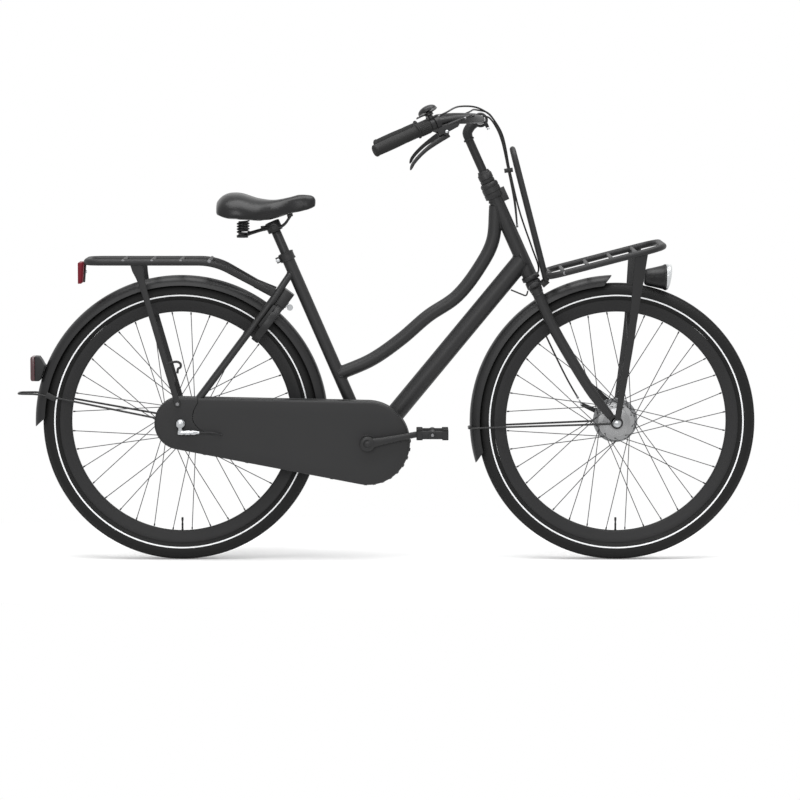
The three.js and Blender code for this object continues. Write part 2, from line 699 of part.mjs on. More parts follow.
function caseShell() {
  const outer = slab(caseOutline(0), -caseFace, -caseRim + caseBevel, caseBevel);
  return cut(outer, [
    slab(caseOutline(caseWall), -caseFace + caseWall, 0),
    slab(caseOutline(-overrun), -caseRim, 0),
    drum(crankHole, -caseFace - overrun, 0, 16, crankAxle),
    drum(axleHole, -caseFace - overrun, 0, 12, rearAxle),
    drum(carrierBolt + stayGap, -caseFace - overrun, -caseFace + 2 * caseWall, 8, carrierEye),
    seatStay(-1, seatStayRadius + stayGap),
    rod(round(rearAxle, 0, 0, -endMiddle), round(rearAxle, caseRearRadius / 2, endAngle, -endMiddle),
      seatStayRadius + stayGap, 8),
    rearWire(wireRadius + stayGap)]);
}

const seam = (gap) => slab([
  [rearAxle.x - caseRearRadius * 2, rearAxle.z + caseRearRadius * 2],
  [rearAxle.x + seamTopAhead + gap, rearAxle.z + caseRearRadius * 2],
  [rearAxle.x + seamTopAhead + gap, rearAxle.z + caseRearRadius / 2],
  [rearAxle.x + seamNotchAhead + gap, rearAxle.z],
  [rearAxle.x + seamFootAhead + gap, rearAxle.z - seamFootDrop],
  [rearAxle.x + seamFootAhead + gap, rearAxle.z - caseRearRadius * 2],
  [rearAxle.x - caseRearRadius * 2, rearAxle.z - caseRearRadius * 2]], -caseFace - overrun, 0);
const shell = caseShell();
add('chaincase_outer', cut(shell, [seam(2 * seatGap)]), mattBlack);
add('chaincase_flap', common(shell, seam(0)), mattBlack);
add('chaincase_inner', cut(slab(caseOutline(seatGap), -caseRim + seatGap, -caseRim + seatGap + innerPlate),
  [
  chainStay(-1, chainStayRadius + stayGap * 2),
  drum(shellRadius + seatGap, -caseFace, 0, 16, crankAxle),
  drum(hubHole, -caseFace, 0, 16, rearAxle)]), mattBlack);

// Mudguards: a rolled arch with pointed ends, and the wires that hold them
const archSideShares = [-1, -0.8, 0, 0.8, 1];
const archRiseShares = [0, 0.7, 1, 0.7, 0];
const archStepTurn = 9.5;
const archPointTurn = 3.5;
const rearArchStartTurn = -18;
const rearArchEndTurn = 178.5;
const frontArchStartTurn = 95.5;
const frontArchEndTurn = 193;

function mudguard(centre, from, to) {
  const steps = Math.round((to - from) / archStepTurn);
  const section = (angle, point, inset) => archSideShares.map((share, k) => round(centre,
    mudguardRadius - mudguardDepth * (1 - archRiseShares[k]) - (archRiseShares[k] > 0 ? inset : 0),
    angle + point * archRiseShares[k], share * (mudguardHalf - inset)));
  return loft(Array.from({ length: steps + 1 }, (_, k) => {
    const point = k === 0 ? -archPointTurn : k === steps ? archPointTurn : 0;
    const angle = from + (k * (to - from)) / steps;
    return [...section(angle, point, 0), ...section(angle, point, mudguardWall).reverse()];
  }));
}

const frontWireTurn = 182.5;
const frontWireStartTurn = 190;
const forkEndRadius = 16;
const forkEndMiddle = frontEndInner + endPlate / 2;
const frontWireStops = (side) => [
  round(frontAxle, forkEndRadius + 2 * seatGap, frontWireStartTurn, side * forkEndMiddle),
  round(frontAxle, mudguardRadius - mudguardDepth * 2, frontWireTurn, side * (mudguardHalf + wireGap)),
  round(frontAxle, mudguardRadius + wireGap, frontWireTurn, side * (mudguardHalf + wireGap))];
add('rear_mudguard', mudguard(rearAxle, rearArchStartTurn, rearArchEndTurn), mattBlack);
add('front_mudguard', mudguard(frontAxle, frontArchStartTurn, frontArchEndTurn), mattBlack);
add('rear_mudguard_stay', rearWire(wireRadius), mattBlack);
add('front_mudguard_stay', pipe(rounded([...frontWireStops(-1), ...frontWireStops(1).reverse()],
  wireBend * 0.6, 2), wireRadius, 5),
  mattBlack);

// Rear carrier: a bent tube loop, cross bars, flattened legs, a strap hook and the reflector's tab
const railRadius = 7;
const rearDeckClearance = 37;
const rearDeckHeight = rearAxle.z + mudguardRadius + rearDeckClearance;
const rearDeckBack = 250;
const rearDeckFront = 88;
const rearDeckWidth = 176;
const rearDeckCorner = 42;
const carrierFootBack = 30;
const barRadius = 5;
const legTopBack = 112;
const legTopWidth = 36;
const legFootWidth = 13;
const legThickness = 5;
const legTopThickness = 7;
const rearBarShares = [0.16, 0.39, 0.62, 0.85];
const tabWidth = 22;
const tabThickness = 3;
const tabStartShare = -0.12;
const tabEndShare = 0.85;
const hookRise = 46;
const hookLength = 15;
const hookTurn = 149;
const rearRail = (rearDeckWidth - 2 * railRadius) / 2;
const rearDeckTail = at(rearAxle.x - rearDeckBack + railRadius, 0, rearDeckHeight);
const rearDeckNose = at(rearAxle.x + rearDeckFront, 0, rearDeckHeight);
const reflectorHeight = 55;
const reflectorWidth = 84;
const reflectorThickness = 8;
const reflectorLean = 4;
const reflectorBevel = 1.5;
const reflectorTop = at(rearDeckTail.x - railRadius - seatGap, 0, rearDeckTail.z - railRadius);
const carrierFoot = round(rearAxle, bridgeRadius + stayNarrow * 2.6, endAngle);
const rearDeckStops = (side) => [
  at(carrierFoot.x - carrierFootBack, side * (stayBendWidth - railRadius), carrierFoot.z),
  at(rearDeckNose.x, side * rearRail, rearDeckNose.z),
  at(rearDeckTail.x, side * rearRail, rearDeckTail.z)];
const legOuter = carrierEyeOuter + seatGap + legThickness / 2;

function rearCarrier() {
  const pieces = [pipe(rounded([...rearDeckStops(-1), ...rearDeckStops(1).reverse()], rearDeckCorner, 2),
    railRadius, 8)];
  for (const share of rearBarShares) {
    const x = rearDeckTail.x + share * (rearDeckNose.x - rearDeckTail.x);
    pieces.push(rod(at(x, -rearRail, rearDeckHeight), at(x, rearRail, rearDeckHeight), barRadius, 5));
  }
  for (const side of [-1, 1]) {
    const top = at(rearAxle.x - legTopBack, side * rearRail, rearDeckHeight - railRadius / 2);
    const foot = at(carrierEye.x, side * legOuter, carrierEye.z);
    const bend = top.clone().lerp(foot, 0.25);
    pieces.push(flatBar(top, bend, forwards, [legTopWidth, legTopWidth * 0.6], legTopThickness),
      flatBar(top.clone().lerp(foot, 0.22), foot, forwards, [legTopWidth * 0.6, legFootWidth],
        legThickness),
      rod(along(foot, across, -legThickness / 2), along(foot, across, legThickness / 2), carrierEyeRadius,
        8),
      seatLug(side));
  }
  const hookFoot = at(carrierEye.x, -legOuter, carrierEye.z).lerp(at(rearAxle.x - legTopBack, -rearRail,
    rearDeckHeight),
    hookRise / (rearDeckHeight - carrierEye.z));
  const bolt = (y) => at(carrierEye.x, y, carrierEye.z);
  const onTab = (share) => at(reflectorTop.x - share * reflectorLean + seatGap + tabThickness / 2, 0,
    reflectorTop.z - share * reflectorHeight);
  pieces.push(
    rod(bolt(-rearEndInner - endPlate - 2 * seatGap), bolt(-legOuter), carrierBolt, 6),
    rod(hookFoot, along(hookFoot, heading(hookTurn), hookLength), legThickness / 2, 6),
    flatBar(onTab(tabStartShare), onTab(tabEndShare), across, [tabWidth, tabWidth], tabThickness));
  return join(pieces);
}

// A lug that reaches from the carrier's front end to the seat stay
function seatLug(side) {
  const stay = at(carrierFoot.x, side * (stayBendWidth - railRadius), carrierFoot.z);
  return flatBar(along(stay, forwards, -carrierFootBack - railRadius),
    along(stay, forwards, -seatStayRadius - overrun),
    upward, [railRadius, railRadius], legThickness);
}

add('rear_carrier', rearCarrier(), mattBlack);

// Reflector on the carrier's tail
const reflectorPlate = slab([[0, 0], [-reflectorThickness, 0],
  [-reflectorThickness - reflectorLean, -reflectorHeight],
  [-reflectorLean, -reflectorHeight]], -reflectorWidth / 2, reflectorWidth / 2, reflectorBevel);
add('rear_reflector', reflectorPlate.translate(reflectorTop.x, 0, reflectorTop.z), redLens);

// Rear lamp on the mudguard: a housing that follows the arch, and its lens
const lampLow = 106;
const lampHigh = 170;
const lampInset = 1;
const lampBack = mudguardRadius - lampInset;
const lampLensThickness = 12;
const lampHalfWidth = 27;
const lampBevel = 3;
const archAt = (rise) => rearAxle.x - Math.sqrt((mudguardRadius + 2 * seatGap) ** 2 - rise ** 2);
const lampSteps = [0, 0.25, 0.5, 0.75, 1].map((share) => lampLow + share * (lampHigh - lampLow));
add('rear_lamp_body', slab([...lampSteps.map((rise) => [archAt(rise), rearAxle.z + rise]),
  [rearAxle.x - lampBack, rearAxle.z + lampHigh], [rearAxle.x - lampBack, rearAxle.z + lampLow]].reverse(),
-lampHalfWidth, lampHalfWidth), plastic);
add('rear_lamp_lens', slab([[rearAxle.x - lampBack - seatGap, rearAxle.z + lampLow],
  [rearAxle.x - lampBack - seatGap, rearAxle.z + lampHigh],
  [rearAxle.x - lampBack - lampLensThickness, rearAxle.z + lampHigh - lampBevel],
  [rearAxle.x - lampBack - lampLensThickness, rearAxle.z + lampLow + lampBevel]].reverse(),
-lampHalfWidth, lampHalfWidth, lampBevel), redLens);

// Hub brakes: a drum beside the hub, cooling ribs on the front one, a reaction arm and a cable lever
const brakeRadius = 36;
const coolingRadius = 58;
const coolingPlate = 2.5;
const coolingRibs = 12;
const brakeStart = 29.5;
const brakeDepth = 15;
const coneRadius = 14;
const spacerRadius = 9;
const armThickness = 4;
const torqueArmUp = 104;
const torqueArmTurn = 115;
const pullArmUp = 74;
const pullArmTurn = 155;
const rearArmTurn = -25;

function brakeDrum(centre, radius, start, end, hubEnd, frameInner) {
  const bore = axleRadius + axleClearance;
  return turned([[bore, hubEnd + seatGap], [coneRadius, hubEnd + seatGap], [coneRadius, start],
    [radius, start], [radius, end],
    [spacerRadius, end + 3 * seatGap], [spacerRadius, frameInner - seatGap], [bore, frameInner - seatGap],
      [bore, hubEnd + seatGap]],
  16, centre);
}

function frontBrake() {
  const plateEnd = brakeStart + coolingPlate;
  const pieces = [brakeDrum(frontAxle, brakeRadius, brakeStart, brakeStart + brakeDepth, frontHub.leftEnd,
    frontEndInner),
    washer(brakeRadius - overrun, coolingRadius, brakeStart, plateEnd, 16, frontAxle)];
  for (let k = 0; k < coolingRibs; k += 1) {
    const angle = ((k + 0.5) * 360) / coolingRibs;
    pieces.push(flatBar(round(frontAxle, brakeRadius - overrun, angle, brakeStart + brakeDepth / 2),
      round(frontAxle, coolingRadius - 3 * seatGap, angle, brakeStart + brakeDepth / 2), across,
        [brakeDepth * 0.8, brakeDepth * 0.35],
      coolingPlate));
  }
  const y = brakeStart + brakeDepth / 2;
  pieces.push(flatBar(round(frontAxle, brakeRadius * 0.8, torqueArmTurn, y),
    onSteer(torqueArmUp, forkRake / 2, y), across.clone().cross(upward),
    [brakeRadius * 0.7, coneRadius], armThickness));
  pieces.push(flatBar(round(frontAxle, brakeRadius * 0.8, pullArmTurn, y),
    onSteer(pullArmUp, -forkRake * 0.28, y), across.clone().cross(upward),
    [coneRadius, coneRadius * 0.7], armThickness));
  return join(pieces);
}

const rearBrakeRadius = 46;
const rearBrakeStart = 35;
const rearBrakeDepth = 17;
const rearArmReach = 132;
const rearArmDrop = 28;
add('front_brake', frontBrake(), silver);
add('rear_brake', join([brakeDrum(rearAxle, rearBrakeRadius, rearBrakeStart,
  rearBrakeStart + rearBrakeDepth, rearHub.leftEnd,
  rearEndInner),
flatBar(round(rearAxle, rearBrakeRadius * 0.7, rearArmTurn, rearBrakeStart + armThickness / 2),
  at(rearAxle.x + rearArmReach, rearBrakeStart + armThickness / 2, rearAxle.z - rearArmDrop), upward,
  [brakeRadius, coneRadius], armThickness)]), silver);

// Gear changer: a cap on the axle end, a click cylinder below it, and the cable that runs to the case
const changerStart = 80;
const changerEnd = 97;
const changerRadius = 10;
const clickLength = 49;
const clickRadius = 6.5;
const clickDrop = 22;
const cableRadius = 2.3;
const axleEnd = rearEndInner + endPlate + seatGap + nutThickness + axleStub;
const changerCentre = (y) => along(rearAxle, across, -y);
const clickStart = at(rearAxle.x, -(changerStart + changerEnd) / 2 - 3 * seatGap, rearAxle.z - clickDrop);
const clickEnd = along(clickStart, forwards, clickLength);
add('gear_changer', cut(join([
  rod(changerCentre(changerStart), changerCentre(changerEnd), changerRadius, 12),
  rod(along(clickStart, upward, clickDrop), clickStart, clickRadius * 0.9, 8),
  rod(along(clickStart, forwards, -clickRadius), clickEnd, clickRadius, 10),
  pipe(rounded([along(clickEnd, forwards, -3 * seatGap), along(clickEnd, forwards, clickLength * 0.7),
    at(rearAxle.x + seamFootAhead, -caseFace - seatGap - cableRadius, clickEnd.z - clickRadius)],
      clickRadius, 2), cableRadius, 6),
]), [rod(changerCentre(0), changerCentre(axleEnd + seatGap), axleRadius + axleClearance, 12)]), silver);

// Fork: steerer with its lock nut, crown, two curved blades and the axle ends
const seatPlate = 5;
const steererRadius = 13.2;
const steererBore = 12.1;
const steererFootDrop = 19;
const steererBottom = crownPlace - steererFootDrop;
const steererShown = 76;
const steererTop = headTop + steererShown;
const lockNutRadius = 19;
const crownRadius = 17;
const crownRaceRadius = 20;
const bladeWidth = 47;
const bladeUpShares = [0.965, 0.75, 0.48, 0.23, 0.055];
const bladeAheadShares = [0, 0, 0.2, 0.48, 0.84];
const bladeOutShares = [0, 0, 0.25, 0.7, 1];
const bladeRadius = 14;
const bladeRadiusShares = [1, 1, 0.893, 0.714, 0.5];

const archFlat = mudguardRadius * Math.cos(turn(archStepTurn / 2));
const onArch = (radius) => along(frontAxle, onSteer(crownPlace).sub(frontAxle).normalize(), radius);

function fork() {
  const pieces = [
    rod(onSteer(steererBottom), onSteer(steererTop), steererRadius, 10),
    rod(onSteer(headTop + upperCupHeight + seatGap), onSteer(steererTop), lockNutRadius, 8),
    rod(onSteer(crownPlace, 0, -bladeWidth), onSteer(crownPlace, 0, bladeWidth), crownRadius, 8),
    rod(onSteer(crownPlace), onSteer(headBottom - seatGap), crownRaceRadius, 10),
    flatBar(onSteer(crownPlace), onArch(archFlat + 2 * seatGap), across, [crownRadius, crownRadius],
      seatPlate),
  ];
  for (const side of [-1, 1]) {
    const stops = bladeUpShares.map((share, k) => onSteer(share * crownPlace,
      bladeAheadShares[k] * forkRake,
      side * (bladeWidth + bladeOutShares[k] * (forkEndMiddle - bladeWidth))));
    const top = onSteer(crownPlace, 0, side * bladeWidth);
    pieces.push(
      tapered([top, ...stops], [bladeRadius, ...bladeRadiusShares.map((share) => share * bladeRadius)], 8),
      flatBar(stops.at(-1), along(frontAxle, across, side * forkEndMiddle), steerAhead,
        [forkEndRadius * 1.5, forkEndRadius * 1.5], endPlate),
      rod(along(frontAxle, across, side * frontEndInner), along(frontAxle, across,
        side * (frontEndInner + endPlate)),
          forkEndRadius, 10));
  }
  return cut(join(pieces), [
    rod(onSteer(steererBottom - crownRadius - overrun), onSteer(steererTop + overrun), steererBore, 10),
    rod(along(frontAxle, across, -frontEndInner * 2), along(frontAxle, across, frontEndInner * 2),
      axleRadius + axleClearance, 12)]);
}

add('fork', fork(), mattBlack);

// Steering spring: a bent wire from the down tube to the fork crown that straightens the front wheel
const springWire = 2;
const springBack = 80;
const springSag = 24;
const downAhead = onSteer(downTubeHeadPlace).sub(at(crankAxle.x + downTubeFootAhead, 0,
  crankAxle.z)).normalize();
const downUnder = at(downAhead.z, 0, -downAhead.x);
const springStart = onSteer(crownPlace, -crownRadius - springWire - 6 * seatGap);
const springEnd = along(along(onSteer(downTubeHeadPlace), downAhead, -springBack), downUnder,
  downTubeRadius + springWire + seatGap);
const springLow = along(springStart.clone().lerp(springEnd, 0.5), downUnder, springSag);
add('steering_spring', pipe(rounded([springStart, springLow, springEnd], springSag, 4), springWire, 6),
  steel);

// Stem and handlebar
const quillRadius = 11.1;
const quillDepth = 20;
const quillFoot = headTop - quillDepth;
const stemLength = 219;
const stemTop = quillFoot + stemLength;
const stemAhead = 48;
const stemRadius = 13;
const clampRadius = 19;
const clampHalf = 23;
const barTube = 11.1;
const barBack = 269;
const barHalf = 300;
const barDrop = 72;
const barBackShares = [0, 0.005, 0.03, 0.14, 0.27, 0.405];
const barOutShares = [0, 0.13, 0.33, 0.56, 0.7, 0.793];
const barDropShares = [0, 0, -0.05, -0.06, -0.05, 0];
const gripLength = 125;
const gripRadius = 15.5;
const gripFlange = 19;
const gripFlangeLength = 4;
const barClamp = onSteer(stemTop, stemAhead);
const barPoint = (side, back, out, drop) =>
  at(barClamp.x - back * barBack, side * out * barHalf, barClamp.z - drop * barDrop);
const barEnd = (side) => barPoint(side, 1, 1, 1);
const barBend = (side) => barPoint(side, barBackShares.at(-1), barOutShares.at(-1), barDropShares.at(-1));
const barOut = (side) => barEnd(side).sub(barBend(side)).normalize();
const onBar = (side, fromEnd) => along(barEnd(side), barOut(side), -fromEnd);
const leverSplayShare = 0.35;
const bracketPlace = 165;
const barDown = (side) => {
  const level = upward.clone().negate().projectOnPlane(barOut(side)).normalize();
  const outer = across.clone().multiplyScalar(side).projectOnPlane(barOut(side)).normalize();
  return level.addScaledVector(outer, leverSplayShare).normalize();
};
const onLever = (side, fromClamp, drop, across2 = 0) => along(along(along(onBar(side, bracketPlace),
  barOut(side), fromClamp),
  barDown(side), drop), barOut(side).cross(barDown(side)), across2);

const barHalfStops = (side) => smooth(barBackShares.map((back, k) =>
  barPoint(side, back, barOutShares[k], barDropShares[k])), 9).slice(1);
add('handlebar', pipe([barEnd(-1), ...barHalfStops(-1).reverse(), barClamp, ...barHalfStops(1), barEnd(1)],
  barTube, 8), mattBlack);
add('stem', cut(join([
  rod(onSteer(quillFoot), onSteer(stemTop - clampRadius / 2), quillRadius, 12),
  rod(onSteer(stemTop - clampRadius), barClamp, stemRadius, 8),
  rod(along(barClamp, across, -clampHalf), along(barClamp, across, clampHalf), clampRadius, 12),
  rod(onSteer(stemTop - clampRadius * 1.5, stemAhead + clampRadius / 2),
    onSteer(stemTop, stemAhead + clampRadius / 2),
    seatPlate, 6),
]), [rod(along(barClamp, across, -clampHalf * 2), along(barClamp, across, clampHalf * 2),
  barTube + 5 * seatGap, 12)]), mattBlack);

for (const [side, name] of [[-1, 'right_grip'], [1, 'left_grip']]) {
  const bore = barTube + seatGap * 3;
  add(name, turned([[0, seatPlate], [gripRadius, seatPlate], [gripRadius, gripFlangeLength - gripLength],
    [gripFlange, gripFlangeLength - gripLength], [gripFlange, -gripLength], [bore, -gripLength],
      [bore, seatGap], [0, seatGap]],
  10, barEnd(side), barOut(side)), rubber);
}

// Twist shifter beside the right grip
const shifterLength = 33;
const shifterRadius = 17.5;
add('twist_shifter', washer(barTube + seatGap * 3, shifterRadius, -gripLength - shifterLength,
  -gripLength - seatGap, 14,
  barEnd(-1), barOut(-1)), rubber);

// Brake brackets clamped to the bars, with the lever pivots, and the levers
const bracketHalf = 6.5;
const bracketRadius = 16;
const housingLength = 14;
const leverPivotBack = -24;
const leverPivotDrop = 33;
const leverThickness = 7;
const leverBossRadius = 7;
const leverBore = 3.2;
const pivotPin = 2.5;
const cheekThickness = 3;
const cheekGap = 0.5;
const housingBack = -72;
const housingDrop = 21;
const housingOut = 9;
const housingRadius = 4.5;
const leverReach = 108;
const leverDrop = 82;
const leverRadius = 7;
const leverReachShares = [-0.25, 0.176, 0.528, 0.861, 1];
const leverDropShares = [0.4756, 0.561, 0.6707, 0.8537, 1];
const leverRadiusShares = [1, 0.929, 0.786, 0.714, 0.643];

const housingEnd = (side, gap) => onLever(side, housingBack - housingRadius - gap, housingDrop,
  -side * housingOut);

const bellSeat = 24;
const bellStem = 8;
const bellPlace = -6;

function bracket(side) {
  const cheek = leverThickness / 2 + cheekGap + cheekThickness / 2;
  const pin = leverThickness / 2 + cheekGap + cheekThickness;
  const pieces = [rod(onLever(side, -bracketHalf, 0), onLever(side, bracketHalf, 0), bracketRadius, 10)];
  for (const face of [-1, 1]) {
    pieces.push(flatBar(onLever(side, 0, bracketRadius * 0.7, face * cheek),
      onLever(side, leverPivotBack, leverPivotDrop + leverBossRadius / 2, face * cheek), barOut(side),
      [bracketHalf * 2, leverBossRadius * 2], cheekThickness));
  }
  pieces.push(
    rod(onLever(side, leverPivotBack, leverPivotDrop, -pin), onLever(side, leverPivotBack, leverPivotDrop,
      pin), pivotPin, 8),
    rod(onLever(side, -bracketHalf / 2, bracketRadius * 0.8, -pin),
      onLever(side, -bracketHalf / 2, bracketRadius * 0.8, pin),
      bracketHalf, 6),
    flatBar(onLever(side, -bracketHalf, bracketRadius), onLever(side, housingBack, housingDrop,
      -side * housingOut), barDown(side),
      [housingRadius * 2, housingRadius * 2], housingRadius * 2),
    rod(onLever(side, housingBack + housingRadius, housingDrop, -side * housingOut), housingEnd(side, 0),
      housingRadius, 6));
  if (side < 0) {
    pieces.push(
      rod(onLever(side, -housingLength - bracketHalf, 0), onLever(side, -bracketHalf / 2, 0), shifterRadius,
        10),
      rod(onLever(side, bellPlace, -bracketRadius + overrun), onLever(side, bellPlace, -bellSeat), bellStem,
        8));
  }
  return cut(join(pieces), [rod(onLever(side, -housingLength * 2, 0), onLever(side, housingLength, 0),
    barTube + 4 * seatGap, 10)]);
}

function lever(side) {
  const boss = rod(onLever(side, leverPivotBack, leverPivotDrop, -leverThickness / 2),
    onLever(side, leverPivotBack, leverPivotDrop, leverThickness / 2), leverBossRadius, 10);
  const blade = tapered(leverReachShares.map((share, k) => onLever(side, share * leverReach,
    leverDropShares[k] * leverDrop)),
    leverRadiusShares.map((share) => share * leverRadius), 6, 0.46);
  return cut(join([boss, blade]), [rod(onLever(side, leverPivotBack, leverPivotDrop, -leverThickness * 2),
    onLever(side, leverPivotBack, leverPivotDrop, leverThickness * 2), leverBore, 8)]);
}

// Bell on the right bracket: a dome on a stem, with its thumb lever round the stem
const bellRadius = 26;
const bellHeight = 26;
const bellPost = 5.5;
const bellFoot = 4;
const bellLever = 4;
const bellThumb = 34;
const bellAxis = barDown(-1).negate();
const onBell = (rise) => along(onLever(-1, bellPlace, -bellSeat - seatGap), bellAxis, rise);
add('right_brake_bracket', bracket(-1), plastic);
add('left_brake_bracket', bracket(1), plastic);
add('right_brake_lever', lever(-1), plastic);
add('left_brake_lever', lever(1), plastic);
const bellProfileShares = [[0, 0], [0.42, 0], [0.42, 0.15], [0.21, 0.15], [0.21, 0.75], [0.7, 0.6],
  [0.92, 0.36], [1, 0.36],
  [0.96, 0.6], [0.72, 0.85], [0.36, 0.97], [0, 1]];
add('bell', turned(bellProfileShares.map(([radius, rise]) => [radius * bellRadius, rise * bellHeight]), 12,
  onBell(0), bellAxis), plastic);
const bellLeverLow = bellFoot + seatGap;
const bellSide = barOut(-1);
const bellMiddle = onBell(bellLeverLow + bellLever / 2);
add('bell_lever', cut(join([
  rod(onBell(bellLeverLow), onBell(bellLeverLow + bellLever), bellPost * 2, 8),
  flatBar(along(bellMiddle, bellSide, bellPost * 1.5), along(bellMiddle, bellSide, bellThumb),
    bellSide.clone().cross(bellAxis),
    [bellFoot * 2, bellFoot * 3], bellLever),
]), [rod(onBell(0), onBell(bellHeight), bellPost + 3 * seatGap, 8)]), plastic);

// Front carrier: sloping deck, narrow upright loop, legs to the axle and the lamp's tab
const deckRadius = 6.5;
const loopRadius = 7;
const deckFootRise = 20;
const deckFootUp = crownPlace + deckFootRise;
const deckFootAhead = 44;
const deckNoseUp = 373;
const deckNoseAhead = 344;
const frontRail = 150;
const frontCorner = 60;
const loopHalf = 42;
const loopCorner = 38;
const loopTopUp = 756;
const loopTopAhead = 93;
const loopFootRise = 6;
const loopFootUp = crownPlace + loopFootRise;
const loopFootAhead = 34;
const frontBarShares = [0.15, 0.37, 0.58, 0.79];
const frontLegShare = 0.8;
const frontLegWidth = 36;
const frontLegWidthShares = [1, 0.722, 0.444];
const frontLegThickness = 4;
const frontLegBendShare = 0.42;
const frontLegOutShare = 0.5;
const lampTabWidth = 14;
const lampTabThickness = 4;
const lampRadius = 34;
const lampRise = 377;
const lampAhead = 81;
const lampLength = 48;
const lampLens = 14;
const lampStart = frontAxle.x + lampAhead;
const lampFace = lampStart + lampLength;
const lampTailShare = 0.45;
const lampMiddleShare = 0.76;
const lampCentre = at(0, 0, frontAxle.z + lampRise);

function frontCarrier() {
  const deck = (share, side) => onSteer(deckFootUp + share * (deckNoseUp - deckFootUp),
    deckFootAhead + share * (deckNoseAhead - deckFootAhead), side);
  const half = (side) => [deck(0, side * loopHalf), deck(0, side * frontRail), deck(1, side * frontRail)];
  const pieces = [
    pipe(rounded([...half(-1), ...half(1).reverse()], frontCorner, 2), deckRadius, 7),
    pipe(rounded([onSteer(loopFootUp, loopFootAhead, -loopHalf),
      onSteer(loopTopUp, loopTopAhead, -loopHalf),
      onSteer(loopTopUp, loopTopAhead, loopHalf), onSteer(loopFootUp, loopFootAhead, loopHalf)], loopCorner,
        2), loopRadius, 7),
    rod(deck(0, -loopHalf - loopRadius), deck(0, loopHalf + loopRadius), deckRadius * 1.2, 6),
  ];
  for (const share of frontBarShares) pieces.push(rod(deck(share, -frontRail), deck(share, frontRail),
    barRadius, 5));
  const top = deck(frontLegShare, 0);
  const legWidths = frontLegWidthShares.map((share) => share * frontLegWidth);
  const footSide = frontEndInner + endPlate + nutThickness + 3 * seatGap + frontLegThickness / 2;
  for (const side of [-1, 1]) {
    const start = at(top.x, side * frontRail, top.z);
    const foot = along(frontAxle, across, side * footSide);
    const bend = at(start.x + frontLegBendShare * (foot.x - start.x),
      side * (frontRail + frontLegOutShare * (footSide - frontRail)),
      start.z + frontLegOutShare * (foot.z - start.z));
    const knee = foot.clone().lerp(bend, 0.2);
    pieces.push(
      flatBar(start, bend, forwards, legWidths.slice(0, 2), frontLegThickness * 1.5),
      flatBar(bend, at(knee.x, side * footSide, knee.z), forwards, legWidths.slice(1), frontLegThickness),
      flatBar(at(knee.x, side * footSide, knee.z), foot, forwards, [legWidths[2], legWidths[2]],
        frontLegThickness),
      rod(along(foot, across, -frontLegThickness / 2), along(foot, across, frontLegThickness / 2),
        carrierEyeRadius + deckRadius / 2, 10),
      flatBar(onSteer(loopFootUp, loopFootAhead + loopRadius / 2, side * loopHalf),
        onSteer(crownPlace, crownRadius + 4 * seatGap, side * loopHalf),
        steerUp, [lampTabWidth, lampTabWidth], lampTabThickness));
  }
  const lampHold = at(lampStart - lampTabWidth / 2, 0, lampCentre.z);
  pieces.push(
    flatBar(deck(frontBarShares.at(-1), 0), lampHold, across, [lampTabWidth, lampTabWidth],
      lampTabThickness),
    rod(along(lampHold, forwards, -lampTabThickness), at(lampStart - seatGap, 0, lampCentre.z),
      lampTabWidth / 2, 6));
  return cut(join(pieces), [rod(along(frontAxle, across, -frontRail), along(frontAxle, across, frontRail),
    axleRadius + 2 * axleClearance, 10)]);
}

// Headlamp hung under the deck: a housing and its lens
add('front_carrier', frontCarrier(), mattBlack);
add('headlamp_body', turned([[0, lampStart], [lampRadius * lampTailShare, lampStart],
  [lampRadius * lampMiddleShare, (lampStart + lampFace) / 2],
  [lampRadius, lampFace], [0, lampFace]], 16, lampCentre, forwards), plastic);
add('headlamp_lens', turned([[0, lampFace + seatGap], [lampRadius, lampFace + seatGap],
  [lampRadius * 0.9, lampFace + lampLens / 2],
  [0, lampFace + lampLens]], 16, lampCentre, forwards), clearLens);

// Cables: two from the bars to the head tube, and the front brake's own down the left blade
const cableEntryUp = 600;
const cableSteps = 14;
const frontCableSteps = 18;
const cablesApart = 7;
const headEntry = (side) => onSteer(cableEntryUp, headTubeRadius + seatGap + cableRadius,
  (side * cablesApart) / 2);
const rearCableStart = (side) => housingEnd(side, 4 * seatGap);
const gearStart = onLever(-1, -housingLength - bracketHalf - 4 * seatGap, -barTube - cableRadius - seatGap);
const rearCableStops = smooth([rearCableStart(-1), along(rearCableStart(-1), barOut(-1), -clampHalf),
  onSteer(884, 46, -64),
  onSteer(870, 71, -26), onSteer(800, 79, -8), onSteer(708, 62, -4), headEntry(-1)], cableSteps);
const gearCableStops = smooth([gearStart, along(gearStart, barOut(-1), -clampHalf), onSteer(908, 22, -112),
  onSteer(900, 60, -52), onSteer(862, 84, -18), onSteer(803, 91, 2), onSteer(708, 69, 4), headEntry(1)],
    cableSteps);
const frontCableStops = smooth([rearCableStart(1), along(rearCableStart(1), barOut(1), -clampHalf),
  onSteer(884, 52, 64),
  onSteer(862, 76, 30), onSteer(795, 80, 12), onSteer(708, 64, 11), onSteer(600, 44, 16),
    onSteer(500, 35, 22),
  onSteer(446, 30, 36), onSteer(424, 16, 61), onSteer(385, -6, 68), onSteer(335, -24, 59),
    onSteer(279, -25, 50),
  onSteer(150, -21, 44), onSteer(90, -15, 37.5)], frontCableSteps);
add('rear_brake_cable', pipe(rearCableStops, cableRadius, 5), rubber);
add('gear_cable', pipe(gearCableStops, cableRadius, 5), rubber);
add('front_brake_cable', pipe(frontCableStops, cableRadius, 5), rubber);

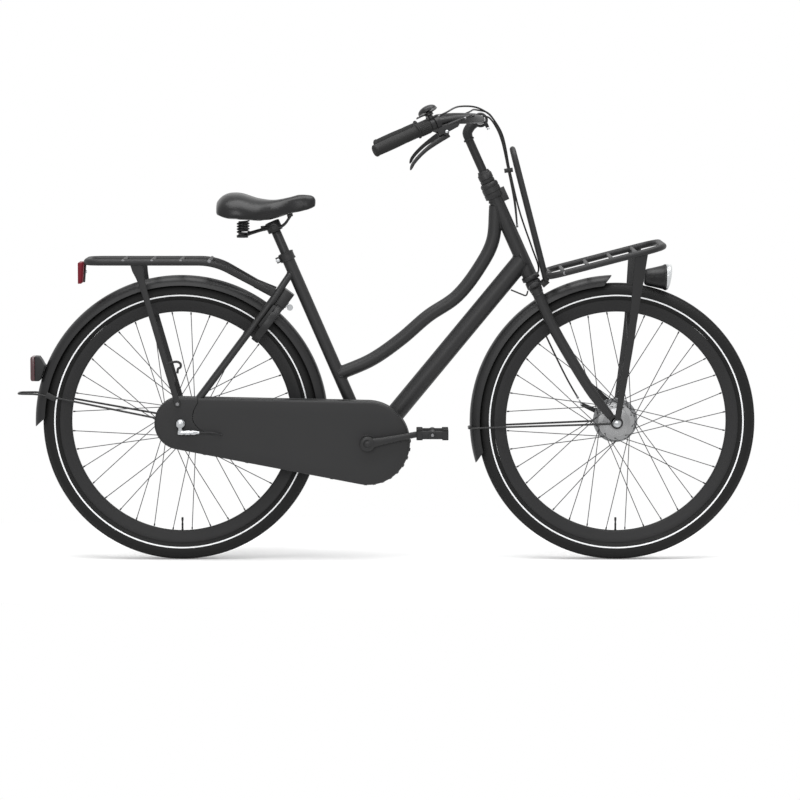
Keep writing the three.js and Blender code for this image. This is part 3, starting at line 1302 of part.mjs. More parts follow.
// Seat post and the sprung saddle
const postRadius = 12.3;
const postInside = 196;
const postShown = 70;
const postFoot = seatTubeLength - postInside;
const postTop = seatTubeLength + postShown;
const saddleBack = 152.4;
const saddleRise = 15.7;
const saddleRear = onSeat(postTop).x - saddleBack;
const saddleLength = 262;
const saddleWidth = 210;
const saddleLow = onSeat(postTop).z + saddleRise;
const saddleHeight = 77;
const saddlePlaceShares = [0, 0.03, 0.11, 0.24, 0.43, 0.58, 0.74, 0.87, 0.96, 1];
const saddleWidthShares = [0.57, 0.81, 0.95, 1, 0.84, 0.57, 0.34, 0.26, 0.2, 0.12];
const saddleTopShares = [0.45, 0.7, 0.94, 1, 0.8, 0.74, 0.83, 0.94, 0.86, 0.68];
const saddleEdgeShares = [0.24, 0.19, 0.1, 0.06, 0.01, 0.05, 0.23, 0.32, 0.42, 0.5];
const crownOutShares = [1, 0.98, 0.8, 0.42, 0];
const crownRiseShares = [0, 0.42, 0.82, 0.98, 1];
const underOutShares = [0.9, 0.86, 0.68, 0.34, 0];
const underRiseShares = [0.04, 0.12, 0.26, 0.28, 0.28];
const bossBack = 72;
const bossPlace = saddleRear + bossBack;
const bossSide = 52;
const springRise = 4;
const springTop = saddleLow + springRise;
const springHeight = 36;
const coilRadius = 13;
const coilWire = 2;
const coilCurls = 4;
const coilSteps = 8;
const coilSides = 5;
const railWire = 3.5;
const noseBack = 197;
const noseBoss = saddleRear + noseBack;

function saddleCover() {
  const rings = saddlePlaceShares.map((place, k) => {
    const low = saddleLow + saddleEdgeShares[k] * saddleHeight;
    const rise = saddleLow + saddleTopShares[k] * saddleHeight - low;
    const half = (saddleWidthShares[k] * saddleWidth) / 2;
    const point = (out, up) => at(saddleRear + place * saddleLength, out * half, low + up * rise);
    const over = crownOutShares.map((out, n) => point(out, crownRiseShares[n]));
    const under = underOutShares.map((out, n) => point(out, underRiseShares[n]));
    const mirror = (points) => points.slice(0, -1).map((p) => at(p.x, -p.y, p.z)).reverse();
    return [...over, ...mirror(over), ...[...under, ...mirror(under)].reverse()];
  });
  const bosses = [-1, 1].map((side) => rod(at(bossPlace, side * bossSide, springTop),
    at(bossPlace, side * bossSide, springTop + saddleHeight / 2), coilRadius + coilWire, 8));
  return join([loft(rings), ...bosses]);
}

// Wires from the nose down to the clamp on the post, and back to the pads under the coil springs
const clampSpot = onSeat(postTop - clampHalf / 2);
const padTop = springTop - springHeight - 2 * seatGap;
const railStops = (side) => [
  at(noseBoss, side * saddleWidth * 0.06, saddleLow + saddleHeight * 0.23),
  at(clampSpot.x + clampHalf, side * (postRadius + overrun), clampSpot.z),
  at(clampSpot.x - clampHalf, side * (postRadius + overrun * 1.5), clampSpot.z - railWire),
  at(bossPlace, side * bossSide, padTop - railWire)];

function saddleFrame() {
  const pieces = [rod(onSeat(postTop - clampHalf), onSeat(postTop + overrun), postRadius + overrun * 1.5,
    10),
    rod(along(clampSpot, across, -clampHalf), along(clampSpot, across, clampHalf), clampRadius * 0.6, 6),
    flatBar(at(noseBoss + railWire, 0, railStops(1)[0].z), at(noseBoss - railWire * 3, 0,
      railStops(1)[0].z - railWire), across,
      [saddleWidth * 0.16, saddleWidth * 0.16], railWire * 2)];
  for (const side of [-1, 1]) {
    pieces.push(pipe(rounded(railStops(side), clampHalf, 1), railWire, 6),
      rod(at(bossPlace, side * bossSide, padTop - railWire * 2), at(bossPlace, side * bossSide, padTop),
        coilRadius + coilWire, 8));
  }
  return cut(join(pieces), [rod(onSeat(postFoot), onSeat(postTop + seatGap), postRadius + 3 * seatGap,
    10)]);
}

// The least gap that the coil leaves to itself: between stops half a turn or more apart, less one wire
function leastGap(stops) {
  let least = Infinity;
  for (let k = 0; k < stops.length; k += 1) {
    for (let m = k + coilSteps / 2; m < stops.length; m += 1) {
      least = Math.min(least, stops[k].distanceTo(stops[m]) - 2 * coilWire);
    }
  }
  return least;
}

function coilStops(side) {
  const foot = padTop + seatGap;
  const straight = 2 * coilWire;
  const climb = springHeight - 2 * straight;
  const count = coilCurls * coilSteps;
  const stop = (k, rise) => {
    const angle = (2 * Math.PI * k) / coilSteps;
    return at(bossPlace + coilRadius * Math.cos(angle), side * (bossSide + coilRadius * Math.sin(angle)),
      foot + rise);
  };
  const curls = Array.from({ length: count + 1 }, (_, k) => stop(k, straight + (k * climb) / count));
  return [stop(0, 0), ...curls, stop(count, springHeight)];
}

console.log(`saddle spring: least gap to itself ${leastGap(coilStops(1)).toFixed(2)} mm`);
add('seatpost', rod(onSeat(postFoot), onSeat(postTop), postRadius, 12), mattBlack);
add('saddle_cover', saddleCover(), leather);
add('saddle_frame', saddleFrame(), mattBlack);
add('saddle_spring_left', pipe(coilStops(1), coilWire, coilSides), steel);
add('saddle_spring_right', pipe(coilStops(-1), coilWire, coilSides), steel);

// Ring lock in front of the seat stays: a hollow horseshoe with a housing, and the sliding shackle
const lockInset = 26;
const lockRadius = tyreRadius - lockInset;
const lockForward = 25;
const lockInner = 50;
const lockOuter = 68;
const lockHalf = 10.5;
const lockMouth = 45;
const shacklePlace = 59;
const shackleRadius = 4.5;
const shackleGap = 2.4;
const shackleStartTurn = 43;
const shackleSpanTurn = 138;
const knobTurn = 146;
const knobReach = 82;
const knobRadius = 3;
const slotHalf = 4;
const slotStartTurn = 38;
const slotSpanTurn = 114;
const housingTop = 104;
const housingHalf = 30;
const lugRadius = 6;
const lugUp = 20;
const lockUp = heading(endAngle);
const lockNormal = at(lockUp.z, 0, -lockUp.x);
const lockCentre = along(round(rearAxle, lockRadius, endAngle), lockNormal, lockForward);
const onLock = (radius, degrees, depth = 0) => along(along(along(lockCentre, lockUp,
  -radius * Math.cos(turn(degrees))),
  across, radius * Math.sin(turn(degrees))), lockNormal, depth);

const arc = (radius, from, span, steps) =>
  Array.from({ length: steps + 1 }, (_, k) => onLock(radius, from + (k * span) / steps));

function ringLock() {
  const pieces = [washer(lockInner, lockOuter, -lockHalf, lockHalf, 18, lockCentre, lockNormal),
    flatBar(onLock(-(lockInner + lockOuter) / 2, 0), onLock(-housingTop, 0), across,
      [housingHalf * 2, housingHalf * 1.7],
      lockHalf * 2)];
  for (const side of [-1, 1]) {
    const base = along(along(lockCentre, lockUp, lugUp), across, side * (lockInner + overrun / 2));
    pieces.push(rod(along(base, lockNormal, -lockHalf + 1), along(base, lockNormal,
      seatStayRadius + seatGap - lockForward), lugRadius, 8));
  }
  const slot = loft(arc(shacklePlace, slotStartTurn, slotSpanTurn, 6).map((p) => {
    const out = p.clone().sub(lockCentre).normalize();
    const point = (depth, reach) => along(along(p, out, reach), lockNormal, depth);
    return [point(-slotHalf, 0), point(-slotHalf, lockOuter), point(slotHalf, lockOuter),
      point(slotHalf, 0)];
  }));
  return cut(join(pieces), [
    flatBar(onLock(lockMouth, 0), onLock(lockOuter * 2, 0), across, [lockOuter * 3, lockOuter * 3],
      lockHalf * 3),
    pipe([...arc(shacklePlace, 0, 360, 18)], shackleRadius + shackleGap, 5),
    slot]);
}

add('ring_lock_body', ringLock(), mattBlack);
add('ring_lock_shackle', join([pipe(arc(shacklePlace, shackleStartTurn, shackleSpanTurn, 10), shackleRadius,
  6),
  rod(onLock(shacklePlace, knobTurn), onLock(knobReach, knobTurn), knobRadius, 6)]), steel);

// Side stand, folded back under the left chain stay
const standMiddle = along(standPivot, standAxis, standBase + seatGap + standBossLength / 2);
add('side_stand', cut(join([
  rod(along(standPivot, standAxis, standBase + seatGap), along(standPivot, standAxis,
    standBase + seatGap + standBossLength),
    standBoss, 8),
  flatBar(standMiddle, along(standMiddle, standFolded, standBoss * 2), standAxis.clone().cross(standFolded),
    [standBoss * 1.5, standBoss], standBossLength * 0.9),
  rod(along(standMiddle, standFolded, standBoss * 1.4), along(standMiddle, standFolded, standLength),
    standRadius, 6),
  rod(along(standMiddle, standFolded, standLength - standBoss),
    along(standMiddle, standFolded, standLength + standRadius),
    standRadius * 1.4, 6),
]), [rod(along(standPivot, standAxis, -standBoss), along(standPivot, standAxis, standBoss * 2),
  standPin + 2 * axleClearance, 8)]), mattBlack);

export default bike;
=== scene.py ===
# A step-through city bicycle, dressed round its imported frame. Sizes are millimetres and degrees:
# +X is forward, +Y is the rider's left and +Z is up. The mesh writer turns them into metres.
import json
import math

import bmesh
import bpy
import numpy as np
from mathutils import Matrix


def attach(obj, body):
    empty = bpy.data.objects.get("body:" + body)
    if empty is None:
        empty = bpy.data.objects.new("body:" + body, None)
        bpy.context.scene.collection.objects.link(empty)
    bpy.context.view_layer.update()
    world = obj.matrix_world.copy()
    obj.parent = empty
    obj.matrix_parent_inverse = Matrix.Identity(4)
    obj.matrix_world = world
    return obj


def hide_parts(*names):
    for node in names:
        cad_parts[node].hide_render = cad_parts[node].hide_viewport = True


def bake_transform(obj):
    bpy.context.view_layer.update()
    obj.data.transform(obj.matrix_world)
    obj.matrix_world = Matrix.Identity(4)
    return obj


millimetre = 0.001
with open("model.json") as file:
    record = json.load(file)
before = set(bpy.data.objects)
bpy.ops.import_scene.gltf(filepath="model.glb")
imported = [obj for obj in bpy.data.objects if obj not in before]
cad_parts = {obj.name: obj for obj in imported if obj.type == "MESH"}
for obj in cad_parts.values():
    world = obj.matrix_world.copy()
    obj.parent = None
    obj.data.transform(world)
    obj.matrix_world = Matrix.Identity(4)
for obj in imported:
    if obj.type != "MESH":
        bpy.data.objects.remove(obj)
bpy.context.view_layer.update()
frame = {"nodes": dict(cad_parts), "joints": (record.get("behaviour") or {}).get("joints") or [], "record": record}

# Camera
# A long lens on the bicycle's right, a hand higher than its handlebar. The picture's middle falls on the
# plane between the wheels, a little ahead of the crank, and one pixel spans picture_scale there.
picture_side = 800
picture_scale = 2.604
picture_middle = (35.8, 0.0, 416.0)
camera_height = 1330
camera_distance = 10500
sensor_width = 36
far_clip = 100

camera = bpy.data.objects.new("camera", bpy.data.cameras.new("camera"))
bpy.context.scene.collection.objects.link(camera)
sight = np.array([0, camera_distance, picture_middle[2] - camera_height])
camera.location = np.array([picture_middle[0], -camera_distance, camera_height]) * millimetre
camera.rotation_euler = (math.pi / 2 + math.atan2(sight[2], sight[1]), 0, 0)
camera.data.sensor_width = sensor_width
camera.data.lens = sensor_width * np.linalg.norm(sight) / (picture_scale * picture_side)
camera.data.clip_end = far_clip
bpy.context.scene.camera = camera

# Floor and light
# A white studio: an endless pale floor that keeps the soft shadow, an even white surround, one wide
# lamp overhead and a weaker one behind the camera. Camera, glossy and clear rays see plain white.
floor_half = 40000
floor_colour = (0.9, 0.9, 0.9, 1)
floor_lift = 0.14
fade_shape = 0.45
fade_reach = (0.35, 0.95)
surround_strength = 0.55
lamps = {"overhead": dict(place=(0.2, -0.7, 4.2), size=(5.0, 3.0), power=210),
         "front": dict(place=(-0.8, -7.0, 3.0), size=(4.0, 2.5), power=150)}
lamp_target = np.array([0, 0, 0.5])


def node(tree, kind, operation=None):
    """A new shader node of that kind, with its operation where it has one."""
    made = tree.nodes.new(f"ShaderNode{kind}")
    if operation:
        made.operation = operation
    return made


def link(tree, *pairs):
    """Joins each output to the input beside it."""
    for output, socket in pairs:
        tree.links.new(output, socket)


def seen_plainly(tree):
    """One where a ray comes from the camera, from a glossy surface or through a clear one, else nought."""
    rays = node(tree, "LightPath").outputs
    first, second = node(tree, "Math", "MAXIMUM"), node(tree, "Math", "MAXIMUM")
    link(tree, (rays["Is Camera Ray"], first.inputs[0]), (rays["Is Glossy Ray"], first.inputs[1]),
         (first.outputs[0], second.inputs[0]), (rays["Is Transmission Ray"], second.inputs[1]))
    return second.outputs[0]


world = bpy.data.worlds.new("studio")
bpy.context.scene.world = world
world.use_nodes = True
surround = world.node_tree
surround.nodes.clear()
lighting, white = node(surround, "Background"), node(surround, "Background")
lighting.inputs["Strength"].default_value = surround_strength
for background in (lighting, white):
    background.inputs["Color"].default_value = (1, 1, 1, 1)
choice = node(surround, "MixShader")
link(surround, (seen_plainly(surround), choice.inputs["Fac"]), (lighting.outputs[0], choice.inputs[1]),
     (white.outputs[0], choice.inputs[2]),
     (choice.outputs[0], node(surround, "OutputWorld").inputs["Surface"]))

floor_finish = bpy.data.materials.new("studio_floor")
floor_finish.use_nodes = True
ground = floor_finish.node_tree
ground.nodes.clear()
diffuse, lift, plain = node(ground, "BsdfDiffuse"), node(ground, "Emission"), node(ground, "Emission")
diffuse.inputs["Color"].default_value = floor_colour
lifted, seen = node(ground, "Math", "MULTIPLY"), node(ground, "Math", "MULTIPLY")
lifted.inputs[1].default_value = floor_lift
squeeze, reach = node(ground, "VectorMath", "MULTIPLY"), node(ground, "VectorMath", "LENGTH")
squeeze.inputs[1].default_value = (fade_shape, 1, 0)
fade = node(ground, "MapRange")
fade.interpolation_type = "SMOOTHSTEP"
fade.inputs["From Min"].default_value, fade.inputs["From Max"].default_value = fade_reach
added, blended = node(ground, "AddShader"), node(ground, "MixShader")
link(ground, (seen_plainly(ground), lifted.inputs[0]), (lifted.outputs[0], lift.inputs["Strength"]),
     (diffuse.outputs[0], added.inputs[0]), (lift.outputs[0], added.inputs[1]),
     (node(ground, "TexCoord").outputs["Object"], squeeze.inputs[0]), (squeeze.outputs[0], reach.inputs[0]),
     (reach.outputs["Value"], fade.inputs["Value"]), (fade.outputs["Result"], seen.inputs[0]),
     (seen_plainly(ground), seen.inputs[1]), (seen.outputs[0], blended.inputs["Fac"]),
     (added.outputs[0], blended.inputs[1]), (plain.outputs[0], blended.inputs[2]),
     (blended.outputs[0], node(ground, "OutputMaterial").inputs["Surface"]))

floor_mesh = bpy.data.meshes.new("floor")
floor_corners = np.array([(-1, -1, 0), (1, -1, 0), (1, 1, 0), (-1, 1, 0)]) * floor_half * millimetre
floor_mesh.from_pydata(floor_corners, [], [(0, 1, 2, 3)])
floor_mesh.materials.append(floor_finish)
floor = bpy.data.objects.new("floor", floor_mesh)
bpy.context.scene.collection.objects.link(floor)

for lamp_name, lamp_sizes in lamps.items():
    lamp = bpy.data.lights.new(lamp_name, "AREA")
    lamp.shape = "RECTANGLE"
    lamp.size, lamp.size_y = lamp_sizes["size"]
    lamp.energy = lamp_sizes["power"]
    holder = bpy.data.objects.new(lamp_name, lamp)
    holder.location = lamp_sizes["place"]
    aim = lamp_target - lamp_sizes["place"]
    holder.rotation_euler = (math.atan2(math.hypot(aim[0], aim[1]), -aim[2]), 0, math.atan2(-aim[0], aim[1]))
    bpy.context.scene.collection.objects.link(holder)

bpy.context.scene.view_settings.view_transform = "Standard"

# Tyres
# Black city tyres of natural rubber on a woven casing, with a ribbed tread, short shoulder grooves and
# a pale reflecting line moulded into each sidewall. The section is a circle cut off at the beads.
turning = {joint["name"]: joint for joint in frame["joints"]}
across = np.array([0.0, 1.0, 0.0])
upward = np.array([0.0, 0.0, 1.0])
forwards = np.array([1.0, 0.0, 0.0])
rear_axle, front_axle, crank_axle, steer_foot = (
    np.array(turning[name]["pos_m"]) / millimetre
    for name in ("rear_wheel_spin", "front_wheel_spin", "crank_spin", "steering_turn"))
tyre_radius, tyre_section, bead_radius = 361, 25, 317.3
tread_half_turn, tread_depth = 54, 1.1
groove_turns, groove_half = (13, 31), 1.6
shoulder_start, shoulder_depth_share, shoulder_spacing = 35, 0.9, 3
tread_steps, tread_columns, wall_steps = 540, 55, 9
line_radius, line_half_width = 329.2, 1.7
line_rise, line_root_share = 0.25, 0.97
tyre_black = (0.006, 0.006, 0.006)
line_pale = (0.80, 0.81, 0.82)


def unit(vectors):
    """Vectors along the last axis, each divided by its length."""
    vectors = np.asarray(vectors, float)
    return vectors / np.linalg.norm(vectors, axis=-1, keepdims=True)


def woven(points, endless=False):
    """Faces of a grid of points (rows, columns, 3) whose columns close round. Endless joins the last row
    to the first; otherwise one face shuts each end."""
    rows, columns = points.shape[:2]
    index = np.arange(rows * columns).reshape(rows, columns)
    here, there = (index, np.roll(index, -1, 0)) if endless else (index[:-1], index[1:])
    quads = np.stack([here, np.roll(here, -1, 1), np.roll(there, -1, 1), there], -1).reshape(-1, 4).tolist()
    ends = [] if endless else [index[0][::-1].tolist(), index[-1].tolist()]
    return points.reshape(-1, 3), quads + ends


def turned(profile, centre, axis=across, sides=64):
    """A profile of (radius, along) pairs turned round an axis: centre + along * axis + radius * (cos t *
    aside + sin t * over). A profile that ends where it starts makes a ring."""
    profile = np.array(profile, float)
    endless = bool(np.allclose(profile[0], profile[-1]))
    radius, reach = (profile[:-1] if endless else profile).T
    axis = unit(axis)
    aside = unit(np.cross(axis, upward if abs(axis[2]) < 0.9 else forwards))
    over = np.cross(axis, aside)
    t = (np.arange(sides) + 0.5) * 2 * np.pi / sides
    ring_points = np.cos(t)[:, None] * aside + np.sin(t)[:, None] * over
    return woven(centre + reach[:, None, None] * axis + radius[:, None, None] * ring_points, endless)


def procedural(name, colour, roughness, metallic=0.0, grain=300.0, bump=0.1, patch=0.12, wear=0.08,
               **sockets):
    """A finish with fine grain in its surface, soft patches in its colour and unevenness in its gloss, all
    from noise on Object coordinates. One number as colour is a grey with a trace of blue. Sockets go by
    name."""
    material = bpy.data.materials.new(name)
    material.use_nodes = True
    tree = material.node_tree
    shader = tree.nodes["Principled BSDF"]
    for socket, value in {"Metallic": metallic, "Specular_IOR_Level": 0.3, **sockets}.items():
        shader.inputs[socket.replace("_", " ")].default_value = value
    fine, broad = node(tree, "TexNoise"), node(tree, "TexNoise")
    for noise, scale, detail in ((fine, grain, 3), (broad, 9, 5)):
        noise.inputs["Scale"].default_value = scale
        noise.inputs["Detail"].default_value = detail
    tint = node(tree, "ValToRGB")
    base = (colour, colour, colour + 0.0005) if isinstance(colour, float) else colour
    for stop, place, change in zip(tint.color_ramp.elements, (0.3, 0.7), (1 - patch, 1 + patch)):
        stop.position = place
        stop.color = (*[min(1, value * change) for value in base], 1)
    gloss = node(tree, "MapRange")
    gloss.inputs["To Min"].default_value = max(0.02, roughness - wear)
    gloss.inputs["To Max"].default_value = min(1, roughness + wear)
    relief = node(tree, "Bump")
    relief.inputs["Strength"].default_value = bump
    relief.inputs["Distance"].default_value = 0.0005
    spot = node(tree, "TexCoord").outputs["Object"]
    link(tree, (spot, fine.inputs["Vector"]), (spot, broad.inputs["Vector"]),
         (broad.outputs["Fac"], tint.inputs["Fac"]), (tint.outputs["Color"], shader.inputs["Base Color"]),
         (broad.outputs["Fac"], gloss.inputs["Value"]), (gloss.outputs["Result"], shader.inputs["Roughness"]),
         (fine.outputs["Fac"], relief.inputs["Height"]), (relief.outputs["Normal"], shader.inputs["Normal"]))
    return material


body_of = {solid: body for body, solids in frame["record"]["behaviour"]["bodies"].items() for solid in solids}


def face_outwards(mesh):
    """Turns every face of a mesh of closed shells outwards."""
    shaped = bmesh.new()
    shaped.from_mesh(mesh)
    bmesh.ops.recalc_face_normals(shaped, faces=shaped.faces)
    shaped.to_mesh(mesh)
    shaped.free()


def piece(name, parts, *nodes, sharp=38, bends=None):
    """One object from parts, each a list of closed shells and its finish. It rides where its CAD nodes ride and
    stands for them, which it hides. Edges that turn more than sharp degrees stay crisp. With bends, its place is
    baked into its mesh and it rides on no body instead; the two points in bends are not used."""
    mesh = bpy.data.meshes.new(name)
    points, faces, finishes = [], [], []
    start = 0
    for number, (shells, finish) in enumerate(parts):
        mesh.materials.append(finish)
        for shell_points, shell_faces in shells:
            points.append(shell_points)
            faces += [[corner + start for corner in face] for face in shell_faces]
            finishes += [number] * len(shell_faces)
            start += len(shell_points)
    mesh.from_pydata(np.vstack(points) * millimetre, [], faces)
    mesh.polygons.foreach_set("material_index", np.array(finishes, np.int32))
    face_outwards(mesh)
    mesh.polygons.foreach_set("use_smooth", np.ones(len(mesh.polygons), bool))
    mesh.set_sharp_from_angle(angle=math.radians(sharp))
    made = bpy.data.objects.new(name, mesh)
    bpy.context.scene.collection.objects.link(made)
    if bends:
        start, end = (tuple(point * millimetre) for point in bends)
        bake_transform(made)
    else:
        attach(made, body_of[nodes[0]])
    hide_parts(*nodes)
    return made


rubber = procedural("tyre_rubber", tyre_black, 0.66, grain=700, bump=0.35, patch=0.1, Specular_IOR_Level=0.22)
reflecting = procedural("reflecting_line", line_pale, 0.35, grain=1500, bump=0.1, patch=0.03)
bead_turn = math.degrees(math.acos((bead_radius - tyre_radius + tyre_section) / tyre_section))
crown_middle = tyre_radius - tyre_section


def tyre_shell(centre):
    """Rows go round the wheel by t, columns over the section by phi: radius = middle + (section - groove) *
    cos phi, aside = (section - groove) * sin phi. A groove is a rib's edge or every third step of the
    shoulder."""
    wall = np.linspace(tread_half_turn, bead_turn, wall_steps)[1:]
    crown = np.linspace(-tread_half_turn, tread_half_turn, tread_columns)
    phi = np.concatenate([-wall[::-1], crown, wall])
    t = np.arange(tread_steps) * 2 * np.pi / tread_steps
    in_groove = sum((np.abs(np.abs(phi) - place) < groove_half) for place in groove_turns) > 0
    shoulder = (np.abs(phi) > shoulder_start) & (np.abs(phi) < tread_half_turn - 1)
    notch = (np.arange(tread_steps) % shoulder_spacing == 0)[:, None] & shoulder[None]
    depth = tread_depth * np.maximum(in_groove[None] * 1.0, notch * shoulder_depth_share)
    arm = tyre_section - depth
    radius = crown_middle + arm * np.cos(np.radians(phi))
    aside = arm * np.sin(np.radians(phi))
    points = np.stack([centre[0] + radius * np.cos(t)[:, None], centre[1] + aside,
                       centre[2] + radius * np.sin(t)[:, None]], -1)
    return woven(points, endless=True)


def tyre_line(centre, side):
    """A thin raised ring on the sidewall, at the radius where the pale line runs."""
    edges = np.array([line_radius - line_half_width, line_radius + line_half_width])
    wall = np.sqrt(tyre_section ** 2 - (edges - crown_middle) ** 2)
    root, crest = side * wall * line_root_share, side * (wall + line_rise)
    profile = [(edges[0], root[0]), (edges[0], crest[0]), (edges[1], crest[1]), (edges[1], root[1])]
    return turned([*profile, profile[0]], centre, sides=240)


for wheel, axle in (("front", front_axle), ("rear", rear_axle)):
    piece(f"{wheel}_tyre_rubber", [([tyre_shell(axle)], rubber),
          ([tyre_line(axle, -1), tyre_line(axle, 1)], reflecting)], f"{wheel}_tyre", sharp=30)

# Rims
# Deep black double-walled rims of anodised aluminium with rounded shoulders. A black valve stem with its
# thread, collar and cap points at the axle from the lowest point.
rim_outline = [(bead_radius - 0.3, 15), (bead_radius - 5, 15), (bead_radius - 10, 14.2),
               (bead_radius - 20, 11.2), (289, 8.6), (286, 5.5)]
valve_profile = [(3, -1), (3, 3), (2.6, 3.5), (2.6, 14), (3, 14.6), (2.5, 15.2), (3, 15.8), (2.5, 16.4),
                 (3, 17), (2.5, 17.6), (2.2, 18), (2.2, 25), (2.9, 25.5), (2.9, 32.5), (2.0, 34)]
rim_black = procedural("rim_black", 0.012, 0.62, grain=500, bump=0.05)


def bent(points, reach, steps, closed=False):
    """Stops with each corner replaced by a short parabola of the given reach."""
    points = [np.array(p, float) for p in points]
    count = len(points)
    stops = [] if closed else [points[0]]
    for first in range(-1, count - 1) if closed else range(count - 2):
        before, corner, after = (points[(first + step) % count] for step in range(3))
        back, on = before - corner, after - corner
        short = min(reach, np.linalg.norm(back) / 2.1, np.linalg.norm(on) / 2.1)
        share = np.linspace(0, 1, steps + 1)[:, None]
        start, end = corner + unit(back) * short, corner + unit(on) * short
        stops += list(start * (1 - share) ** 2 + corner * 2 * share * (1 - share) + end * share ** 2)
    return np.array(stops if closed else [*stops, points[-1]])


for wheel, axle in (("front", front_axle), ("rear", rear_axle)):
    half = bent(rim_outline, 3, 3)
    loop = np.vstack([half, half[::-1] * (1, -1)])
    valve_foot = axle - upward * rim_outline[-1][0]
    piece(f"{wheel}_rim_black", [([turned([*loop, loop[0]], axle, sides=240)], rim_black),
          ([turned(valve_profile, valve_foot, upward, 20)], rim_black)], f"{wheel}_rim", sharp=34)

# Hubs and spokes
# Aluminium hub shells with two flanges, and thirty-six drawn steel spokes in each, laced over three, with
# heads in the flange holes and black nipples in the rim. Leading spokes lie outside the trailing ones.
hub_sizes = {
    "front": dict(right=-30, left=22, pitch=42, barrel=38, right_end=-43, left_end=27),
    "rear": dict(right=-31, left=25, pitch=40, barrel=31, right_end=-40, left_end=31)}
spoke_count, spoke_radius, spoke_end = 36, 1.15, 285
spoke_offset, spoke_spread, cross_turn = 1.4, 3, 60
flange_thickness, flange_lip, axle_bore = 3.2, 5, 5.5
nipple_radius, nipple_length = 1.9, 6.5
head_profile = [(0.6, -0.9), (1.9, -0.4), (1.9, 0.3), (1.0, 0.9)]
nipple_profile = [(1.5, -nipple_length), (nipple_radius, -nipple_length + 1), (nipple_radius, 0)]
hub_metal = procedural("hub_aluminium", (0.28, 0.282, 0.285), 0.36, metallic=0.95, grain=260, bump=0.12,
                       patch=0.08)
spoke_metal = procedural("spoke_steel", (0.07, 0.07, 0.072), 0.34, metallic=0.85, grain=600, bump=0.03,
                         patch=0.06)
nipple_black = procedural("nipple_black", 0.012, 0.45, grain=900, bump=0.05)


def about(centre, radius, degrees, side=0.0):
    """The point at that radius and angle round an axle, in the side view, moved across by side."""
    angle = math.radians(degrees)
    return np.array([centre[0] + radius * math.cos(angle), side, centre[2] + radius * math.sin(angle)])


def ring(radius, sides=20):
    """A round section of (aside, over) pairs."""
    t = (np.arange(sides) + 0.5) * 2 * np.pi / sides
    return np.stack([radius * np.cos(t), radius * np.sin(t)], -1)


def carried(path, section, flank=across, sizes=None, closed=False):
    """A section of (aside, over) pairs carried along a path: it stands square to the mean of the runs that
    meet at each stop, with aside towards flank, and sizes scale it from stop to stop."""
    path = np.array(path, float)
    runs = unit(np.diff(np.vstack([path, path[:1]]) if closed else path, axis=0))
    before = np.roll(runs, 1, 0) if closed else np.vstack([runs[:1], runs])
    ahead = unit(before + (runs if closed else np.vstack([runs, runs[-1:]])))
    over = unit(np.cross(ahead, flank))
    aside = np.cross(over, ahead)
    scale = np.ones(len(path)) if sizes is None else np.asarray(sizes, float)
    section = np.broadcast_to(section, (len(path), *np.shape(section)[-2:])) * scale[:, None, None]
    return woven(path[:, None] + section[..., :1] * aside[:, None] + section[..., 1:] * over[:, None], closed)


def laced_spokes(centre, sizes):
    """Each spoke runs from its flange hole, turned by plus or minus cross_turn, to its own place in the
    rim."""
    wires, nipples = [], []
    for k in range(spoke_count):
        flange = sizes["left"] if k % 2 else sizes["right"]
        lead = 1 if (k // 2) % 2 else -1
        rim_turn = (k + 0.5) * 360 / spoke_count
        start = about(centre, sizes["pitch"], rim_turn + lead * cross_turn, flange + lead * spoke_offset)
        end = about(centre, spoke_end, rim_turn, spoke_spread if k % 2 else -spoke_spread)
        wires.append(carried([start, end], ring(spoke_radius, 8)))
        head = start + across * lead * (flange_thickness / 2 - spoke_offset)
        wires.append(turned(head_profile, head, across * lead, 12))
        nipples.append(turned(nipple_profile, end, end - start, 10))
    return wires, nipples


for wheel, axle in (("front", front_axle), ("rear", rear_axle)):
    sizes = hub_sizes[wheel]
    right, left, barrel = sizes["right"], sizes["left"], sizes["barrel"]
    lip, half, hub_neck = sizes["pitch"] + flange_lip, flange_thickness / 2, (axle_bore + barrel) / 2
    shell_profile = bent([(axle_bore, sizes["right_end"]), (hub_neck, sizes["right_end"]),
                          (barrel - 2, right - half), (lip, right - half), (lip, right + half),
                          (barrel, right + half * 3), (barrel, left - half * 3), (lip, left - half),
                          (lip, left + half), (hub_neck, sizes["left_end"]), (axle_bore, sizes["left_end"])],
                         1.2, 2)
    wires, nipples = laced_spokes(axle, sizes)
    piece(f"{wheel}_hub_shell", [([turned([*shell_profile, shell_profile[0]], axle, sides=96)], hub_metal),
          (wires, spoke_metal), (nipples, nipple_black)], f"{wheel}_hub")

# Axles
# Threaded steel axles clamped in the fork and frame ends by a washer and a plated nut on each side: a
# turned hexagon with eased corners. The thread shows past it at the rear, and round caps cover it in front.
nut_starts = {"front": 56.3, "rear": 71.3}
nut_height, nut_radius = 8, 9.5
axle_radius, axle_stub = 5, 5
thread_depth, thread_step = 0.35, 0.6
washer_profile = [(axle_radius, 0.1), (nut_radius + 1.6, 0.1), (nut_radius + 1.6, 1.4), (axle_radius, 1.6)]
cap_profile = [(5.5, 60), (5.5, 69.4), (9.6, 69.4), (9.6, 74), (8, 77), (4, 78.8), (1, 79)]
plated = procedural("plated_steel", (0.42, 0.43, 0.44), 0.28, metallic=1.0, grain=800, bump=0.05, patch=0.05)
steel = procedural("bare_steel", (0.20, 0.20, 0.205), 0.38, metallic=0.95, grain=500, bump=0.08)


def nut(centre, axis, radius, height):
    """A hexagon with rounded corners at both faces."""
    return turned([(radius * 0.86, 0), (radius, height * 0.12), (radius, height * 0.8),
                   (radius * 0.84, height)], centre, axis, 6)


